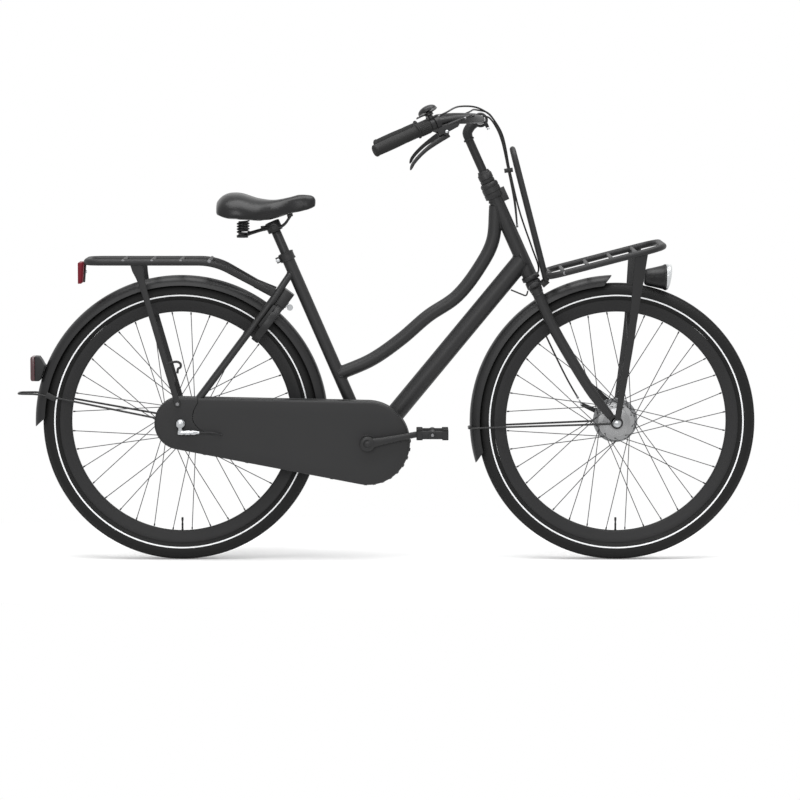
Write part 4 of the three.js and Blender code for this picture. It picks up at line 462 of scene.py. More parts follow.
for wheel, axle in (("front", front_axle), ("rear", rear_axle)):
    nut_start = nut_starts[wheel]
    reach = nut_start + nut_height + axle_stub
    thread = [(axle_radius - thread_depth * (k % 2), along)
              for k, along in enumerate(np.arange(nut_start, reach - 1, thread_step))]
    rod = [(axle_radius - 1, -reach), *[(r, -along) for r, along in thread[::-1]], *thread,
           (axle_radius - 1, reach)]
    fittings = []
    for outwards in (-across, across):
        face = axle + outwards * nut_start
        fittings += [nut(face + outwards * 1.6, outwards, nut_radius, nut_height - 1.8),
                     turned(washer_profile, face, outwards, 40)]
        if wheel == "front":
            fittings.append(turned(cap_profile, axle, outwards, 40))
    piece(f"{wheel}_axle_rod", [([turned(rod, axle, sides=28)], steel), (fittings, plated)], f"{wheel}_axle",
          sharp=25)

# Main frame
# Welded steel tubes under a satin black coat: a thick down tube, a curved top tube, a seat tube, slim
# stays with two bridges, the head tube between its bearing cups, and pressed plates that hold the axle.
steer_up = unit(turning["steering_turn"]["axis"])
steer_ahead = np.array([steer_up[2], 0, -steer_up[0]])
seat_up = unit(turning["seatpost_slide"]["axis"])
seat_ahead = np.array([seat_up[2], 0, -seat_up[0]])
tube_sides = 40
crown_place = 404
head_bottom, head_top = crown_place + 22, crown_place + 256
head_tube_radius = 19
upper_cup_height = 42
down_tube_radius, down_tube_place, down_tube_foot = 24.5, 484, 13
top_tube_radius, top_tube_place, top_tube_seat_place = 17.5, 640, 190
top_tube_ahead_shares = (0, -0.02, -0.11, -0.25, -0.43, -0.605, -0.79, -1)
top_tube_drop_shares = (0, 0.21, 0.375, 0.54, 0.655, 0.795, 0.915, 1)
seat_tube_radius, seat_tube_length = 16, 536
shell_radius, shell_bore, shell_half = 21, 18, 34
chain_stay_radius, seat_stay_radius = 9, 9
stay_half, end_middle, end_half, end_radius = 43, 68, 3, 21
stay_drop, stay_gap = 56, 6
bridge_radius, bridge_rod = 396, 6
eye_turn, eye_reach, eye_radius, eye_ends = 98, 52, 7, {-1: 71.3, 1: 79}
weld_radius = 1.9
stand_pivot = np.array(turning["stand_swing"]["pos_m"]) / millimetre
stand_axis = -unit(turning["stand_swing"]["axis"])
coat = procedural("satin_black_coat", 0.016, 0.43, grain=900, bump=0.1, patch=0.07, wear=0.05)


def on_steer(up, ahead=0.0, side=0.0):
    """The point so far up the steering axis, ahead of it and to its left."""
    return steer_foot + up * steer_up + ahead * steer_ahead + side * across


def on_seat(up, ahead=0.0, side=0.0):
    """The point so far up the seat tube's axis from the crank axle, ahead of it and to its left."""
    return crank_axle + up * seat_up + ahead * seat_ahead + side * across


def through(stops, steps):
    """A centripetal Catmull-Rom curve through the stops, cut into steps of one length."""
    stops = np.array(stops, float)
    stops = np.vstack([2 * stops[0] - stops[1], stops, 2 * stops[-1] - stops[-2]])
    before, here, on, after = stops[:-3], stops[1:-2], stops[2:-1], stops[3:]
    pace = np.sqrt(np.linalg.norm(np.diff(stops, axis=0), axis=1))[:, None]
    first, middle, last = pace[:-2], pace[1:-1], pace[2:]
    leave = ((here - before) / first - (on - before) / (first + middle) + (on - here) / middle) * middle
    reach = ((on - here) / middle - (after - here) / (middle + last) + (after - on) / last) * middle
    t = np.linspace(0, 1, 40, endpoint=False)[:, None, None]
    fine = ((2 * t ** 3 - 3 * t ** 2 + 1) * here + (t ** 3 - 2 * t ** 2 + t) * leave
            + (3 * t ** 2 - 2 * t ** 3) * on + (t ** 3 - t ** 2) * reach)
    fine = np.vstack([fine.transpose(1, 0, 2).reshape(-1, 3), stops[-2:-1]])
    length = np.concatenate([[0], np.cumsum(np.linalg.norm(np.diff(fine, axis=0), axis=1))])
    even = np.linspace(0, length[-1], steps + 1)
    return np.stack([np.interp(even, length, fine[:, k]) for k in range(3)], -1)


def tube(path, radius, sides=tube_sides, ease=0.0):
    """A round tube along a path; radius may be one per stop, and ease rounds both of its ends."""
    path = np.array(path, float)
    radii = np.broadcast_to(np.asarray(radius, float), len(path)).copy()
    if ease:
        out, back = unit(path[0] - path[1]), unit(path[-1] - path[-2])
        start, end = path[0] - out * ease, path[-1] - back * ease
        turns = np.radians(np.array([80, 55, 28, 0]))[:, None]
        caps = [centre + way * ease * np.sin(turns) for centre, way in ((start, out), (end, back))]
        path = np.vstack([caps[0], path[1:-1], caps[1][::-1]])
        rounds = [r - ease * (1 - np.cos(turns[:, 0])) for r in (radii[0], radii[-1])]
        radii = np.concatenate([rounds[0], radii[1:-1], rounds[1][::-1]])
    flank = across if np.abs(unit(path[-1] - path[0]) @ across) < 0.95 else upward
    return carried(path, ring(1, sides), flank, radii)


def strip(width, thickness, ease=1.2):
    """A rectangle of (aside, over) pairs whose corners are quarter rounds."""
    ease = min(ease, width / 2.05, thickness / 2.05)
    turns = np.radians(np.arange(16) // 4 * 90 + np.arange(16) % 4 * 30)
    signs = np.array([(1, 1), (-1, 1), (-1, -1), (1, -1)]).repeat(4, 0)
    half = np.array([width / 2 - ease, thickness / 2 - ease])
    return signs * half + ease * np.stack([np.cos(turns), np.sin(turns)], -1)


def bar(start, end, wide, widths, thickness, ease=1.2):
    """A flat bar with one width or a width at each end, laid along wide, and with rounded edges."""
    widths = np.broadcast_to(widths, 2)
    return carried([start, end], np.array([strip(width, thickness, ease) for width in widths]), wide)


def weld(start, ahead, radius, host, host_axis, host_radius):
    """A bead where a tube meets a host tube: for each line along the tube's wall, the nearer of its two
    crossings with the host's wall, |(p - host) x host_axis| = host_radius."""
    ahead, host_axis = unit(ahead), unit(host_axis)
    aside = unit(np.cross(ahead, across if abs(ahead[1]) < 0.9 else upward))
    t = np.arange(48) * 2 * np.pi / 48
    wall = start + radius * (np.cos(t)[:, None] * aside + np.sin(t)[:, None] * np.cross(ahead, aside))
    fixed, moving = np.cross(wall - host, host_axis), np.cross(ahead, host_axis)
    a, b = moving @ moving, fixed @ moving
    depth = (-b - np.sqrt(np.maximum(b * b - a * ((fixed ** 2).sum(1) - host_radius ** 2), 0))) / a
    return carried(wall + depth[:, None] * ahead, ring(weld_radius, 10), ahead, closed=True)


def collar(inner, outer, low, high, ease):
    """A ring's profile of (radius, along) pairs, square inside and with both outer rims eased."""
    return [(inner, low), (outer - ease, low), (outer, low + ease), (outer, high - ease),
            (outer - ease, high), (inner, high), (inner, low)]


def disc(centre, axis, radius, low, high, ease=0.8, sides=48):
    """A round plate whose rims are eased."""
    return turned([(radius - ease, low), (radius, low + ease), (radius, high - ease), (radius - ease, high)],
                  centre, axis, sides)


top_head, top_seat = on_steer(top_tube_place, -head_tube_radius / 3), on_seat(top_tube_seat_place)
top_stops = zip(top_tube_ahead_shares, top_tube_drop_shares)
top_tube_path = through([top_head + (top_head - top_seat) * (ahead, 0, -drop) for ahead, drop in top_stops],
                        72)
stay_head = on_seat(seat_tube_length - stay_drop)
end_turn = math.degrees(math.atan2(stay_head[2] - rear_axle[2], stay_head[0] - rear_axle[0]))
down_head, down_foot = on_steer(down_tube_place), crank_axle + forwards * down_tube_foot
down_run, top_run = down_head - down_foot, top_tube_path[0] - top_tube_path[3]
upper_cup = [(head_tube_radius, 0), (23, 0.5), (24, 1.5), (24, 13), (22.8, 14), (22.8, 15), (24, 16),
             (24, 28), (22.6, 29), (22.6, 30.5), (23.6, 31.5), (23.6, 38), (21, upper_cup_height),
             (16, upper_cup_height)]
lower_cup = [(head_tube_radius, 0), (22.6, 0.6), (23.4, 1.6), (23.4, 11.6), (22, 13), (head_tube_radius, 14)]


def chain_stay(side):
    """The stay's stops from the bottom bracket round the tyre to the axle plate."""
    reach, drop = crank_axle[0] - rear_axle[0], rear_axle[2] - crank_axle[2]
    return bent([crank_axle + (0, side * 24, 0), crank_axle + (-reach * 0.3, side * 42.1, drop * 0.3),
                 rear_axle + (reach * 0.28, side * 44.8, -drop * 0.2),
                 rear_axle + (reach * 0.12, side * 62, -drop * 0.06),
                 rear_axle + (end_radius / 2, side * (end_middle - end_half), 0)], stay_half, 8)


def seat_stay(side):
    """The stay's stops from the seat tube past the wheel to the axle plate."""
    return bent([on_seat(seat_tube_length - stay_drop, -seat_tube_radius / 2, side * stay_gap),
                 about(rear_axle, bridge_radius + bridge_rod, end_turn, side * stay_half),
                 about(rear_axle, end_radius / 2, end_turn, side * end_middle)], stay_half, 8)


head_host = (on_steer(0), steer_up, head_tube_radius)
seat_host = (on_seat(0), seat_up, seat_tube_radius)
bottom_host = (crank_axle, across, shell_radius)
frame_shells = [tube([on_steer(head_bottom + 7), on_steer(head_top + 21)], head_tube_radius),
                turned(lower_cup, on_steer(head_bottom), steer_up, 48),
                turned(upper_cup, on_steer(head_top), steer_up, 48),
                bar(on_steer(head_top, 12), on_steer(head_top, 33), across, 20, 36, 4),
                tube([down_foot, down_head], down_tube_radius, 48), tube(top_tube_path, top_tube_radius),
                tube([on_seat(20), on_seat(seat_tube_length)], seat_tube_radius),
                turned(collar(shell_bore, shell_radius, -shell_half, shell_half, 0.8), crank_axle, sides=48),
                weld(down_foot, down_run, down_tube_radius, *head_host),
                weld(on_seat(100), -seat_up, seat_tube_radius, *bottom_host),
                weld(down_foot + unit(down_run) * 150, -down_run, down_tube_radius, *bottom_host),
                weld(top_tube_path[-6], top_tube_path[-1] - top_tube_path[-4], top_tube_radius, *seat_host),
                weld(top_tube_path[0] - top_run * 8, top_run, top_tube_radius, *head_host)]
for turned_by in (end_turn, -6):
    span = stay_half - (0 if turned_by > 0 else chain_stay_radius / 2)
    ends = [about(rear_axle, bridge_radius, turned_by, side * span) for side in (-1, 1)]
    middle = (ends[0] + ends[1]) / 2
    frame_shells.append(tube(ends, bridge_rod, 28))
    axis = about(rear_axle, 1, turned_by) - rear_axle if turned_by > 0 else forwards
    frame_shells += [weld(middle, end - middle, bridge_rod, end, axis, seat_stay_radius) for end in ends]
frame_shells += [
    tube([stand_pivot - stand_axis * 16, stand_pivot + stand_axis * 2], 11, 36, 0.8),
    tube([stand_pivot, stand_pivot + stand_axis * 12], 4, 24),
    nut(stand_pivot + stand_axis * 10.6, stand_axis, 7, 3.4)]
eye = about(rear_axle, eye_reach, eye_turn)
for side in (-1, 1):
    outwards, low, high = across * side, chain_stay(side), seat_stay(side)
    frame_shells += [
        tube(low, chain_stay_radius, 28), tube(high, seat_stay_radius, 28),
        disc(rear_axle, outwards, end_radius, end_middle - end_half, end_middle + end_half),
        bar(rear_axle + outwards * end_middle, eye + outwards * end_middle, forwards,
            (end_radius * 1.5, eye_radius * 2), 2 * end_half),
        disc(eye, outwards, eye_radius, end_middle - end_half, eye_ends[side], 0.6, 28),
        weld(low[4], low[0] - low[4], chain_stay_radius, *bottom_host),
        weld(high[2], high[0] - high[2], seat_stay_radius, *seat_host)]
piece("frame_tubes", [(frame_shells, coat)], "main_frame", sharp=45)

# Seat clamp
# A split aluminium collar round the top of the seat tube, black, drawn together behind by a plated bolt.
clamp_height, clamp_radius, ear_reach, ear_side = 22, 20.5, 9, 5.5
clamp_centre = on_seat(seat_tube_length - clamp_height / 2 - 0.9)
clamp_ring_profile = [(16.9, -11), (19.5, -11), (clamp_radius, -10), (clamp_radius, -7), (19.7, -6.4),
                      (19.7, 6.4), (clamp_radius, 7), (clamp_radius, 10), (19.5, 11), (16.9, 11), (16.9, -11)]
ears = [bar(on_ear - seat_ahead * 18, on_ear - seat_ahead * (clamp_radius + ear_reach), across, 7, 15.4, 2)
        for on_ear in (clamp_centre - across * ear_side, clamp_centre + across * ear_side)]
bolt_place = clamp_centre - seat_ahead * (16 + ear_reach)
bolt_head = [(4.6, 0), (5.4, 0.6), (5.4, 4), (4.8, 4.6), (3, 4.6), (3, 3)]
clamp_bolt = [tube([bolt_place - across * 13, bolt_place + across * 13], 3.2, 20, 0.5),
              turned(bolt_head, bolt_place - across * 9, -across, 28),
              nut(bolt_place + across * 9, across, 5.4, 4)]
clamp_ring = turned(clamp_ring_profile, clamp_centre, seat_up, 48)
piece("seat_clamp_collar", [([clamp_ring, *ears], coat), (clamp_bolt, plated)], "seat_clamp")

# Bottom bracket, spindle and chain
# A sealed cartridge with a notched cup on each side, and the spindle that carries both cranks. The
# chainwheel, the sprocket and the chain run unseen inside the case, so they keep their solids.
cup_sides, notch_depth = 96, 2.2
cup_rows = [(9.4, 20), (9.4, 33.8), (15.2, 33.9), (17.3, 33.6), (17.3, 20)]
spindle = [(6.5, -87), (8.5, -86), (8.5, 86), (6.5, 87)]


def notched_cup(side):
    """Rows are circles of cup_rows; of every twelve columns, three of the outer rows are set in."""
    column = np.arange(cup_sides)
    t = (column + 0.5) * 2 * np.pi / cup_sides
    rows = [np.stack([radius * np.cos(t), side * (along - notch_depth * ((column % 12 < 3) & (radius > 15))),
                      radius * np.sin(t)], -1) for radius, along in cup_rows]
    return woven(crank_axle + np.array(rows), endless=True)


piece("bottom_bracket_cups", [([notched_cup(-1), notched_cup(1)], steel)], "bottom_bracket", sharp=30)
piece("crank_spindle_rod", [([turned(spindle, crank_axle, sides=40)], steel)], "crank_spindle")
for hidden in ("chainring", "rear_sprocket", "chain"):
    solid = frame["nodes"][hidden]
    solid.data.materials.clear()
    solid.data.materials.append(steel)

# Cranks
# Forged black arms that taper to the pedal, each held on the spindle by a plated bolt under a washer, with
# the pedal's axle screwed into its end.
crank_length, crank_turn = 170, 11
crank_inner, crank_outer, crank_boss, crank_end = 85, 98, 19, 11
crank_thickness, crank_bow = 12.2, 1.2
crank_shares, crank_widths = (0, 0.18, 0.5, 0.9, 1), (28, 20, 16.4, 15, 16)
pedal_axle, pedal_start, pedal_length = 4.8, 5, 96
pedal_reach = crank_outer + pedal_start + pedal_length
boss_profile = [(8.6, 0), (17.6, 0), (crank_boss, 1.4), (crank_boss, 11.6), (17.4, 13), (11, 13), (9.6, 11.4),
                (8.6, 11.4), (8.6, 0)]
spacer_profile = [(8.6, 44), (14, 44), (14, 85), (8.6, 85), (8.6, 44)]
crank_washer_profile = [(7, 94.6), (10.4, 94.8), (10.4, 95.4), (7, 95.6)]
axle_profile = [(pedal_axle, crank_outer - 1), (8, crank_outer), (8, crank_outer + 3.5),
                (6.4, crank_outer + 4.2), (pedal_axle, crank_outer + 4.6), (pedal_axle, pedal_reach - 1),
                (pedal_axle - 1, pedal_reach)]
pin_profile = [(3, crank_inner - 0.2), (6.2, crank_inner), (6.2, crank_inner + 2)]
arm_black = procedural("arm_black_steel", 0.015, 0.42, grain=500, bump=0.1)
forged = procedural("forged_black_arm", 0.014, 0.4, grain=420, bump=0.12, patch=0.1)


def crank_tip(side):
    """The pedal axle's place: ahead of the crank axle on the right, and behind it on the left."""
    return about(crank_axle, -side * crank_length, crank_turn)


for side, name in ((-1, "right"), (1, "left")):
    outwards, tip = across * side, crank_tip(side)
    stops = np.linspace(0.02, 0.98, 15)[:, None]
    middle = side * ((crank_inner + crank_outer) / 2 - crank_bow * np.sin(np.pi * stops))
    path = crank_axle + (tip - crank_axle) * stops + across * middle
    widths = np.interp(stops[:, 0], crank_shares, crank_widths)
    shells = [carried(path, np.array([strip(width, crank_thickness, 4.5) for width in widths]), upward),
              turned(boss_profile, crank_axle + outwards * crank_inner, outwards, 48),
              disc(tip, outwards, crank_end, crank_inner, crank_outer, 1.6)]
    if side < 0:
        shells.append(turned(spacer_profile, crank_axle, outwards))
    bolt = [nut(crank_axle + outwards * 95, outwards, 8, 3),
            turned(crank_washer_profile, crank_axle, outwards, 32)]
    axle = [turned(axle_profile, tip, outwards, 32), turned(pin_profile, tip, outwards, 24)]
    piece(f"{name}_crank_arm", [(shells, forged), (bolt, arm_black), (axle, steel)], f"{name}_crank",
          sharp=42)

# Pedals
# Flat city pedals: a black moulded cage of two ribbed rubber treads joined by end plates round a barrel,
# with a dust cap outside.
pedal_depth, pedal_height, tread_bar = 82, 26, 16
rib_count, rib_spacing, rib_width = 14, 6.6, 4.2
pedal_bore = pedal_axle + 0.9
barrel_profile = [(pedal_bore, 0), (9.2, 0), (9.6, 0.6), (9.6, 8), (8.4, 10), (8.4, pedal_length - 12),
                  (9.6, pedal_length - 10), (9.6, pedal_length - 1), (8.8, pedal_length),
                  (pedal_bore, pedal_length), (pedal_bore, 0)]
pedal_black = procedural("pedal_plastic", 0.012, 0.55, grain=700, bump=0.2, patch=0.08)
tread_rubber = procedural("pedal_tread_rubber", (0.010, 0.010, 0.010), 0.8, grain=900, bump=0.4)
for side, name in ((-1, "right"), (1, "left")):
    tip, start, end = crank_tip(side), side * (crank_outer + pedal_start), side * pedal_reach
    reach = (pedal_depth - tread_bar) / 2
    shells = [bar(tip + (-reach, y, 0), tip + (reach, y, 0), upward, 20.8, 8, 2)
              for y in (start + side * 6, end - side * 6)]
    shells += [bar(tip + (x, start, 0), tip + (x, end, 0), upward, 20, 12, 2) for x in (-reach, reach)]
    shells.append(turned(barrel_profile, tip + across * start, across * side, 36))
    ribs = [bar(tip + (x, y, 0), tip + (x, y + side * rib_width, 0), upward, pedal_height, tread_bar, 1.6)
            for x in (-reach, reach) for y in start + side * (2 + np.arange(rib_count) * rib_spacing)]
    piece(f"{name}_pedal_cage", [(shells, pedal_black), (ribs, tread_rubber)], f"{name}_pedal")

# Chaincase
# A full case of black moulded plastic: an outer shell that follows chainwheel and sprocket, a rear flap
# that comes off for the wheel, clips along its lower edge, an inner plate, and a plated bolt.
case_rear, case_front = 68, 109
case_face, case_rim, case_wall, case_round = 78, 40, 2.2, 7
case_black = procedural("chaincase_plastic", 0.0135, 0.5, grain=1100, bump=0.14, patch=0.04, wear=0.04)


def belt(rear, front, steps=48):
    """The outline of a belt round two circles in the side view: the arcs on either side of its tangents."""
    span = crank_axle - rear_axle
    slope = math.degrees(math.atan2(span[2], span[0]))
    lean = math.degrees(math.acos((rear - front) / np.linalg.norm(span)))
    back = [about(rear_axle, rear, turn) for turn in np.linspace(slope + lean, slope + 360 - lean, steps + 1)]
    fore = [about(crank_axle, front, turn) for turn in np.linspace(slope - lean, slope + lean, steps + 1)]
    runs = [np.linspace(a, b, 14)[1:-1] for a, b in ((back[-1], fore[0]), (fore[-1], back[0]))]
    return np.vstack([back, runs[0], fore, runs[1]])


def belt_shell(profile, endless):
    """A profile of (inset, y) pairs carried round the belt's outline: each row is the outline drawn in."""
    rows = [belt(case_rear - inset, case_front - inset) + across * y for inset, y in profile]
    return woven(np.array(rows), endless)


def slab(outline, low, high):
    """A side-view outline of (x, z) pairs given a thickness across the bicycle."""
    flat = np.array([(x, 0, z) for x, z in outline], float)
    return woven(np.stack([flat + across * low, flat + across * high]))


def evaluated(made):
    """The mesh that a piece has after its modifiers, which are taken off."""
    shape = bpy.data.meshes.new_from_object(made.evaluated_get(bpy.context.evaluated_depsgraph_get()))
    made.modifiers.clear()
    return shape


def carved(made, tools, operation="DIFFERENCE", sharp=38):
    """The piece less each closed tool, or what they share, by an exact Boolean that is applied at once."""
    for points, faces in tools:
        mesh = bpy.data.meshes.new("tool")
        mesh.from_pydata(points * millimetre, [], faces)
        face_outwards(mesh)
        tool = bpy.data.objects.new("tool", mesh)
        bpy.context.scene.collection.objects.link(tool)
        step = made.modifiers.new("carve", "BOOLEAN")
        step.operation, step.solver, step.object = operation, "EXACT", tool
        made.data = evaluated(made)
        bpy.data.objects.remove(tool)
    made.data.set_sharp_from_angle(angle=math.radians(sharp))


case_deep = 34
quarter = np.radians(np.linspace(90, 0, 7))
inner_round = case_round - case_wall
outer_edge = [(case_round * (1 - math.cos(a)), -case_face + case_round * (1 - math.sin(a))) for a in quarter]
inner_edge = [(case_wall + inner_round * (1 - math.cos(a)),
               -case_face + case_wall + inner_round * (1 - math.sin(a))) for a in quarter[::-1]]
bead = [(0, -case_rim - 4.2), (-1.2, -case_rim - 3.4), (-1.2, -case_rim - 0.6), (0, -case_rim)]
cup = [(case_deep, -case_face), *outer_edge, *bead]
hollow = [(case_wall, -case_rim), *inner_edge, (case_deep, -case_face + case_wall)]
far = case_rear * 2
seam_line = [(-far, far), (44, far), (44, 54), (39, 46), (34, 36), (31, 24), (30, 14), (33, 4), (39, -5),
             (48, -14), (60, -21), (80, -29), (103, -38), (103, -far), (-far, -far)]


def seam(gap):
    """The space of the rear flap: all that lies behind the seam's line, moved ahead by the gap."""
    ahead = [0 if x == -far else gap if z > -30 else 0.04 for x, z in seam_line]
    outline = [(rear_axle[0] + x + shift, rear_axle[2] + z) for (x, z), shift in zip(seam_line, ahead)]
    return slab(outline, -case_face - 20, 5)


def opening(centre, radius, outer=90, inner=60, sides=48):
    """A round cutter of that radius through the case's right side."""
    return tube([centre - across * outer, centre - across * inner], radius, sides)


wire_radius = 2.6
wire_start_turn, bow_turn, bow_radius, bow_reach, bow_rise = 166, 169, 345, 427, 73
wire_side, bow_side = 32, 26
rear_wire_stops = {side: [about(rear_axle, 21.6, wire_start_turn, side * end_middle),
                          about(rear_axle, bow_radius, bow_turn, side * wire_side),
                          rear_axle + (52 - bow_reach, side * wire_side, bow_rise),
                          rear_axle + (wire_radius - bow_reach, side * bow_side, bow_rise)]
                   for side in (-1, 1)}
case_holes = [opening(crank_axle, 18.5), opening(rear_axle, 13), opening(eye, 3.7, inner=72, sides=20),
              tube([*seat_stay(-1)[:-1], about(rear_axle, 0, 0, -end_middle)], seat_stay_radius + 1.2, 28),
              tube(rear_wire_stops[-1][:2], wire_radius + 1.2, 16)]
grommet_profile = [(18.7, 78.6), (21.4, 78.8), (22, 78.2), (22, 77), (18.7, 77), (18.7, 78.6)]
case_bolt_profile = [(3.4, 0), (4.6, 0.5), (4.6, 2), (3.6, 3), (1, 3)]
for name, operation, gap in (("outer", "DIFFERENCE", 1.7), ("flap", "INTERSECT", 0)):
    shell = belt_shell([*cup, *hollow], endless=False)
    made = piece(f"chaincase_{name}_shell", [([shell], case_black)], f"chaincase_{name}", sharp=30)
    carved(made, case_holes, sharp=30)
    carved(made, [seam(gap)], operation, sharp=30)
edge = belt(case_rear, case_front) - across * 46
trim = [turned(grommet_profile, crank_axle, -across, 64)]
for k in (*range(50, 62, 3), *range(63, 88, 3)):
    ahead = unit(edge[k + 1] - edge[k - 1])
    outwards = np.cross(across, ahead)
    trim.append(bar(edge[k] - outwards * 1.5, edge[k] + outwards * 3.2, ahead, (10, 8), 8, 1.6))
case_bolt = turned(case_bolt_profile, eye - across * (case_face - 0.2), -across, 24)
piece("chaincase_trim", [(trim, case_black), ([case_bolt], plated)], "chaincase_outer")
inner_rim = belt_shell([(0.3, -39.7), (0.3, -38), (case_wall, -38), (case_wall, -39.7)], endless=True)
inner_sheet = belt_shell([(2, -39.7), (2, -38)], endless=False)
inner = piece("chaincase_inner_plate", [([inner_rim, inner_sheet], case_black)], "chaincase_inner")
carved(inner, [tube(chain_stay(-1)[::-1], chain_stay_radius + 2.4, 28), opening(crank_axle, 21.3, 60, 0),
               opening(rear_axle, 26, 60, 0)])

# Mudguards
# Rolled black steel arches with a full round section, rolled edges and pointed ends, open to the tyre. A
# thin wire holds each one: the rear wire goes round behind the guard as a bow.
guard_radius, guard_half, guard_depth, guard_wall = 381, 29.5, 26, 1.6
guard_steps, point_turn, fullness, lip_width = 150, 3.5, 2.4, 0.9
guard_coat = procedural("mudguard_satin_coat", 0.009, 0.4, grain=500, bump=0.04, patch=0.05)


def full(wave):
    """A sine or cosine made fuller: its size to the power 2 / fullness, with its sign."""
    return np.sign(wave) * np.abs(wave) ** (2 / fullness)


def mudguard(centre, start, end):
    """Rows go along the arch by turn, columns over it by s: aside = half * full(cos s), out = depth *
    full(sin s). Both ends run to a point, because the turn of a column reaches on with its rise; a thinner
    copy makes the wall."""
    s = np.linspace(0, 180, 33)
    out, rise = full(np.cos(np.radians(s))), full(np.sin(np.radians(s)))
    share = np.linspace(0, 1, guard_steps + 1)[:, None]
    low, high = start - point_turn * rise, end + point_turn * rise
    turn = np.radians(low + (high - low) * share)
    walls = []
    for inset in (0, guard_wall):
        radius = guard_radius - guard_depth + rise * (guard_depth - inset)
        lip = np.sign(out) * lip_width * (np.minimum(s, 180 - s) < 3) * (inset == 0)
        y = np.broadcast_to(out * (guard_half - inset) + lip, turn.shape)
        points = np.stack([centre[0] + radius * np.cos(turn), y, centre[2] + radius * np.sin(turn)], -1)
        walls.append(points[:, ::-1] if inset else points)
    return woven(np.concatenate(walls, 1))


piece("rear_mudguard_arch", [([mudguard(rear_axle, -18, 178.5)], guard_coat)], "rear_mudguard")
piece("front_mudguard_arch", [([mudguard(front_axle, 95.5, 193)], guard_coat)], "front_mudguard")
front_wire_stops = {side: [about(front_axle, 16.6, 190, side * 53),
                           about(front_axle, guard_radius - 2 * guard_depth, 182.5, side * wire_side),
                           about(front_axle, guard_radius + 2.5, 182.5, side * wire_side)]
                    for side in (-1, 1)}
rear_clips = [bar(about(rear_axle, bow_radius - 12, bow_turn + 0.6, side * wire_side),
                  about(rear_axle, bow_radius + 13, bow_turn - 0.6, side * wire_side), upward, (14, 15), 8,
                  1.5) for side in (-1, 1)]
for guard, stops, corner, clips in (("rear", rear_wire_stops, 16, rear_clips),
                                    ("front", front_wire_stops, 9.6, [])):
    wire = tube(bent([*stops[-1], *stops[1][::-1]], corner, 8), wire_radius, 16)
    piece(f"{guard}_mudguard_wire", [([wire, *clips], coat)], f"{guard}_mudguard_stay")

# Rear carrier
# One bent steel tube with four cross bars, whose front ends run down to the seat stays, on two flattened
# legs bolted at the axle plates, with a strap hook on the right leg and a tab for the reflector.
deck_back, deck_front, deck_half = 250, 88, 81
deck_height = 779 + rear_axle[2] - tyre_radius
rail_radius, bar_radius, bar_rise = 8.6, 5, 3.2
bar_shares = (0.29, 0.515, 0.74, 0.965)
foot_back, stay_side = 30, 36
leg_back, leg_outer = 112, 81.8
leg_shares, leg_widths = (0, 0.05, 0.11, 0.25, 1), (31, 30, 19, 15.5, 15)
thick_shares, leg_thicknesses = (0, 0.1, 0.17, 1), (7, 6.4, 5, 5)
plug_profile = [(4.6, 5.2), (4.4, 7), (2.6, 7.7), (1, 7.8)]
foot_bolt_profile = [(3.4, 2.4), (5, 2.6), (5, 5.4), (4.2, 6.4), (1, 6.4)]
hook_share, hook_radius = 0.285, 3.2
hook_stops = [(0, 0, -2), (14, 0, 3), (30, 0, 5), (38, 0, 0), (38, 0, -9), (32, 0, -13), (30, 0, -25)]
tail = np.array([rear_axle[0] - deck_back + rail_radius, 0, deck_height])
nose = np.array([rear_axle[0] + deck_front, 0, deck_height])
carrier_foot = about(rear_axle, bridge_radius + 31.2, end_turn)
carrier_coat = procedural("carrier_matt_coat", 0.014, 0.5, grain=900, bump=0.06, patch=0.08)
# The light grey of the cross bars' end plugs is a painted highlight where the bar ends catch the light. The
# carrier's foot bolts share this grey as their own colour.
bolt_grey_and_painted_plug_highlight = procedural("bar_end_plug_painted_highlight_and_bolt_grey", (0.16, 0.16, 0.165), 0.4, grain=900, bump=0.05)


def half_deck(side):
    """One side of the deck's tube, from its foot by the seat stay to the tail."""
    return [carrier_foot + (-foot_back, side * stay_side, 0), nose + across * side * deck_half,
            tail + across * side * deck_half]


shells = [tube(bent([*half_deck(-1), *half_deck(1)[::-1]], 42, 12), rail_radius, 28)]
plugs = []
for share in bar_shares:
    middle = tail + share * (nose - tail) + upward * bar_rise
    shells.append(tube([middle - across * deck_half, middle + across * deck_half], bar_radius, 24))
    plugs += [turned(plug_profile, middle + outwards * deck_half, outwards, 24)
              for outwards in (-across, across)]
for side in (-1, 1):
    outwards = across * side
    top = np.array([rear_axle[0] - leg_back, side * deck_half, deck_height - rail_radius / 2])
    foot = np.array([eye[0], side * leg_outer, eye[2]])
    stops = np.linspace(0, 1, 24)
    sizes = zip(np.interp(stops, leg_shares, leg_widths), np.interp(stops, thick_shares, leg_thicknesses))
    stay = carrier_foot + outwards * stay_side
    shells += [carried(top + (foot - top) * stops[:, None], np.array([strip(w, t, 2.2) for w, t in sizes]),
                       forwards), disc(foot, across, 7.6, -2.6, 2.6, 0.7, 32),
               bar(stay + (-64, 0, 18), stay + (-15, 0, -5), upward, (19, 25), 6, 2)]
    plugs.append(turned(foot_bolt_profile, foot, outwards, 6))
right_top = np.array([rear_axle[0] - leg_back, -deck_half, deck_height])
right_foot = np.array([eye[0], -leg_outer, eye[2]])
hook_foot = right_foot + (right_top - right_foot) * hook_share
reflector_top = tail - forwards * (rail_radius + 0.3) - upward * rail_radius
shells += [tube(through(hook_foot + hook_stops, 40), hook_radius, 16, 0.8),
           bar(hook_foot + (4, 0, -2), hook_foot + (22, 0, -48), forwards, (16, 8), 4, 1),
           tube([eye - across * 71.6, eye - across * leg_outer], 2.5, 20),
           bar(reflector_top + (2.28, 0, 6.6), reflector_top + (-1.6, 0, -46.75), across, 22, 3, 1)]
piece("rear_carrier_rack", [(shells, carrier_coat), (plugs, bolt_grey_and_painted_plug_highlight)], "rear_carrier")

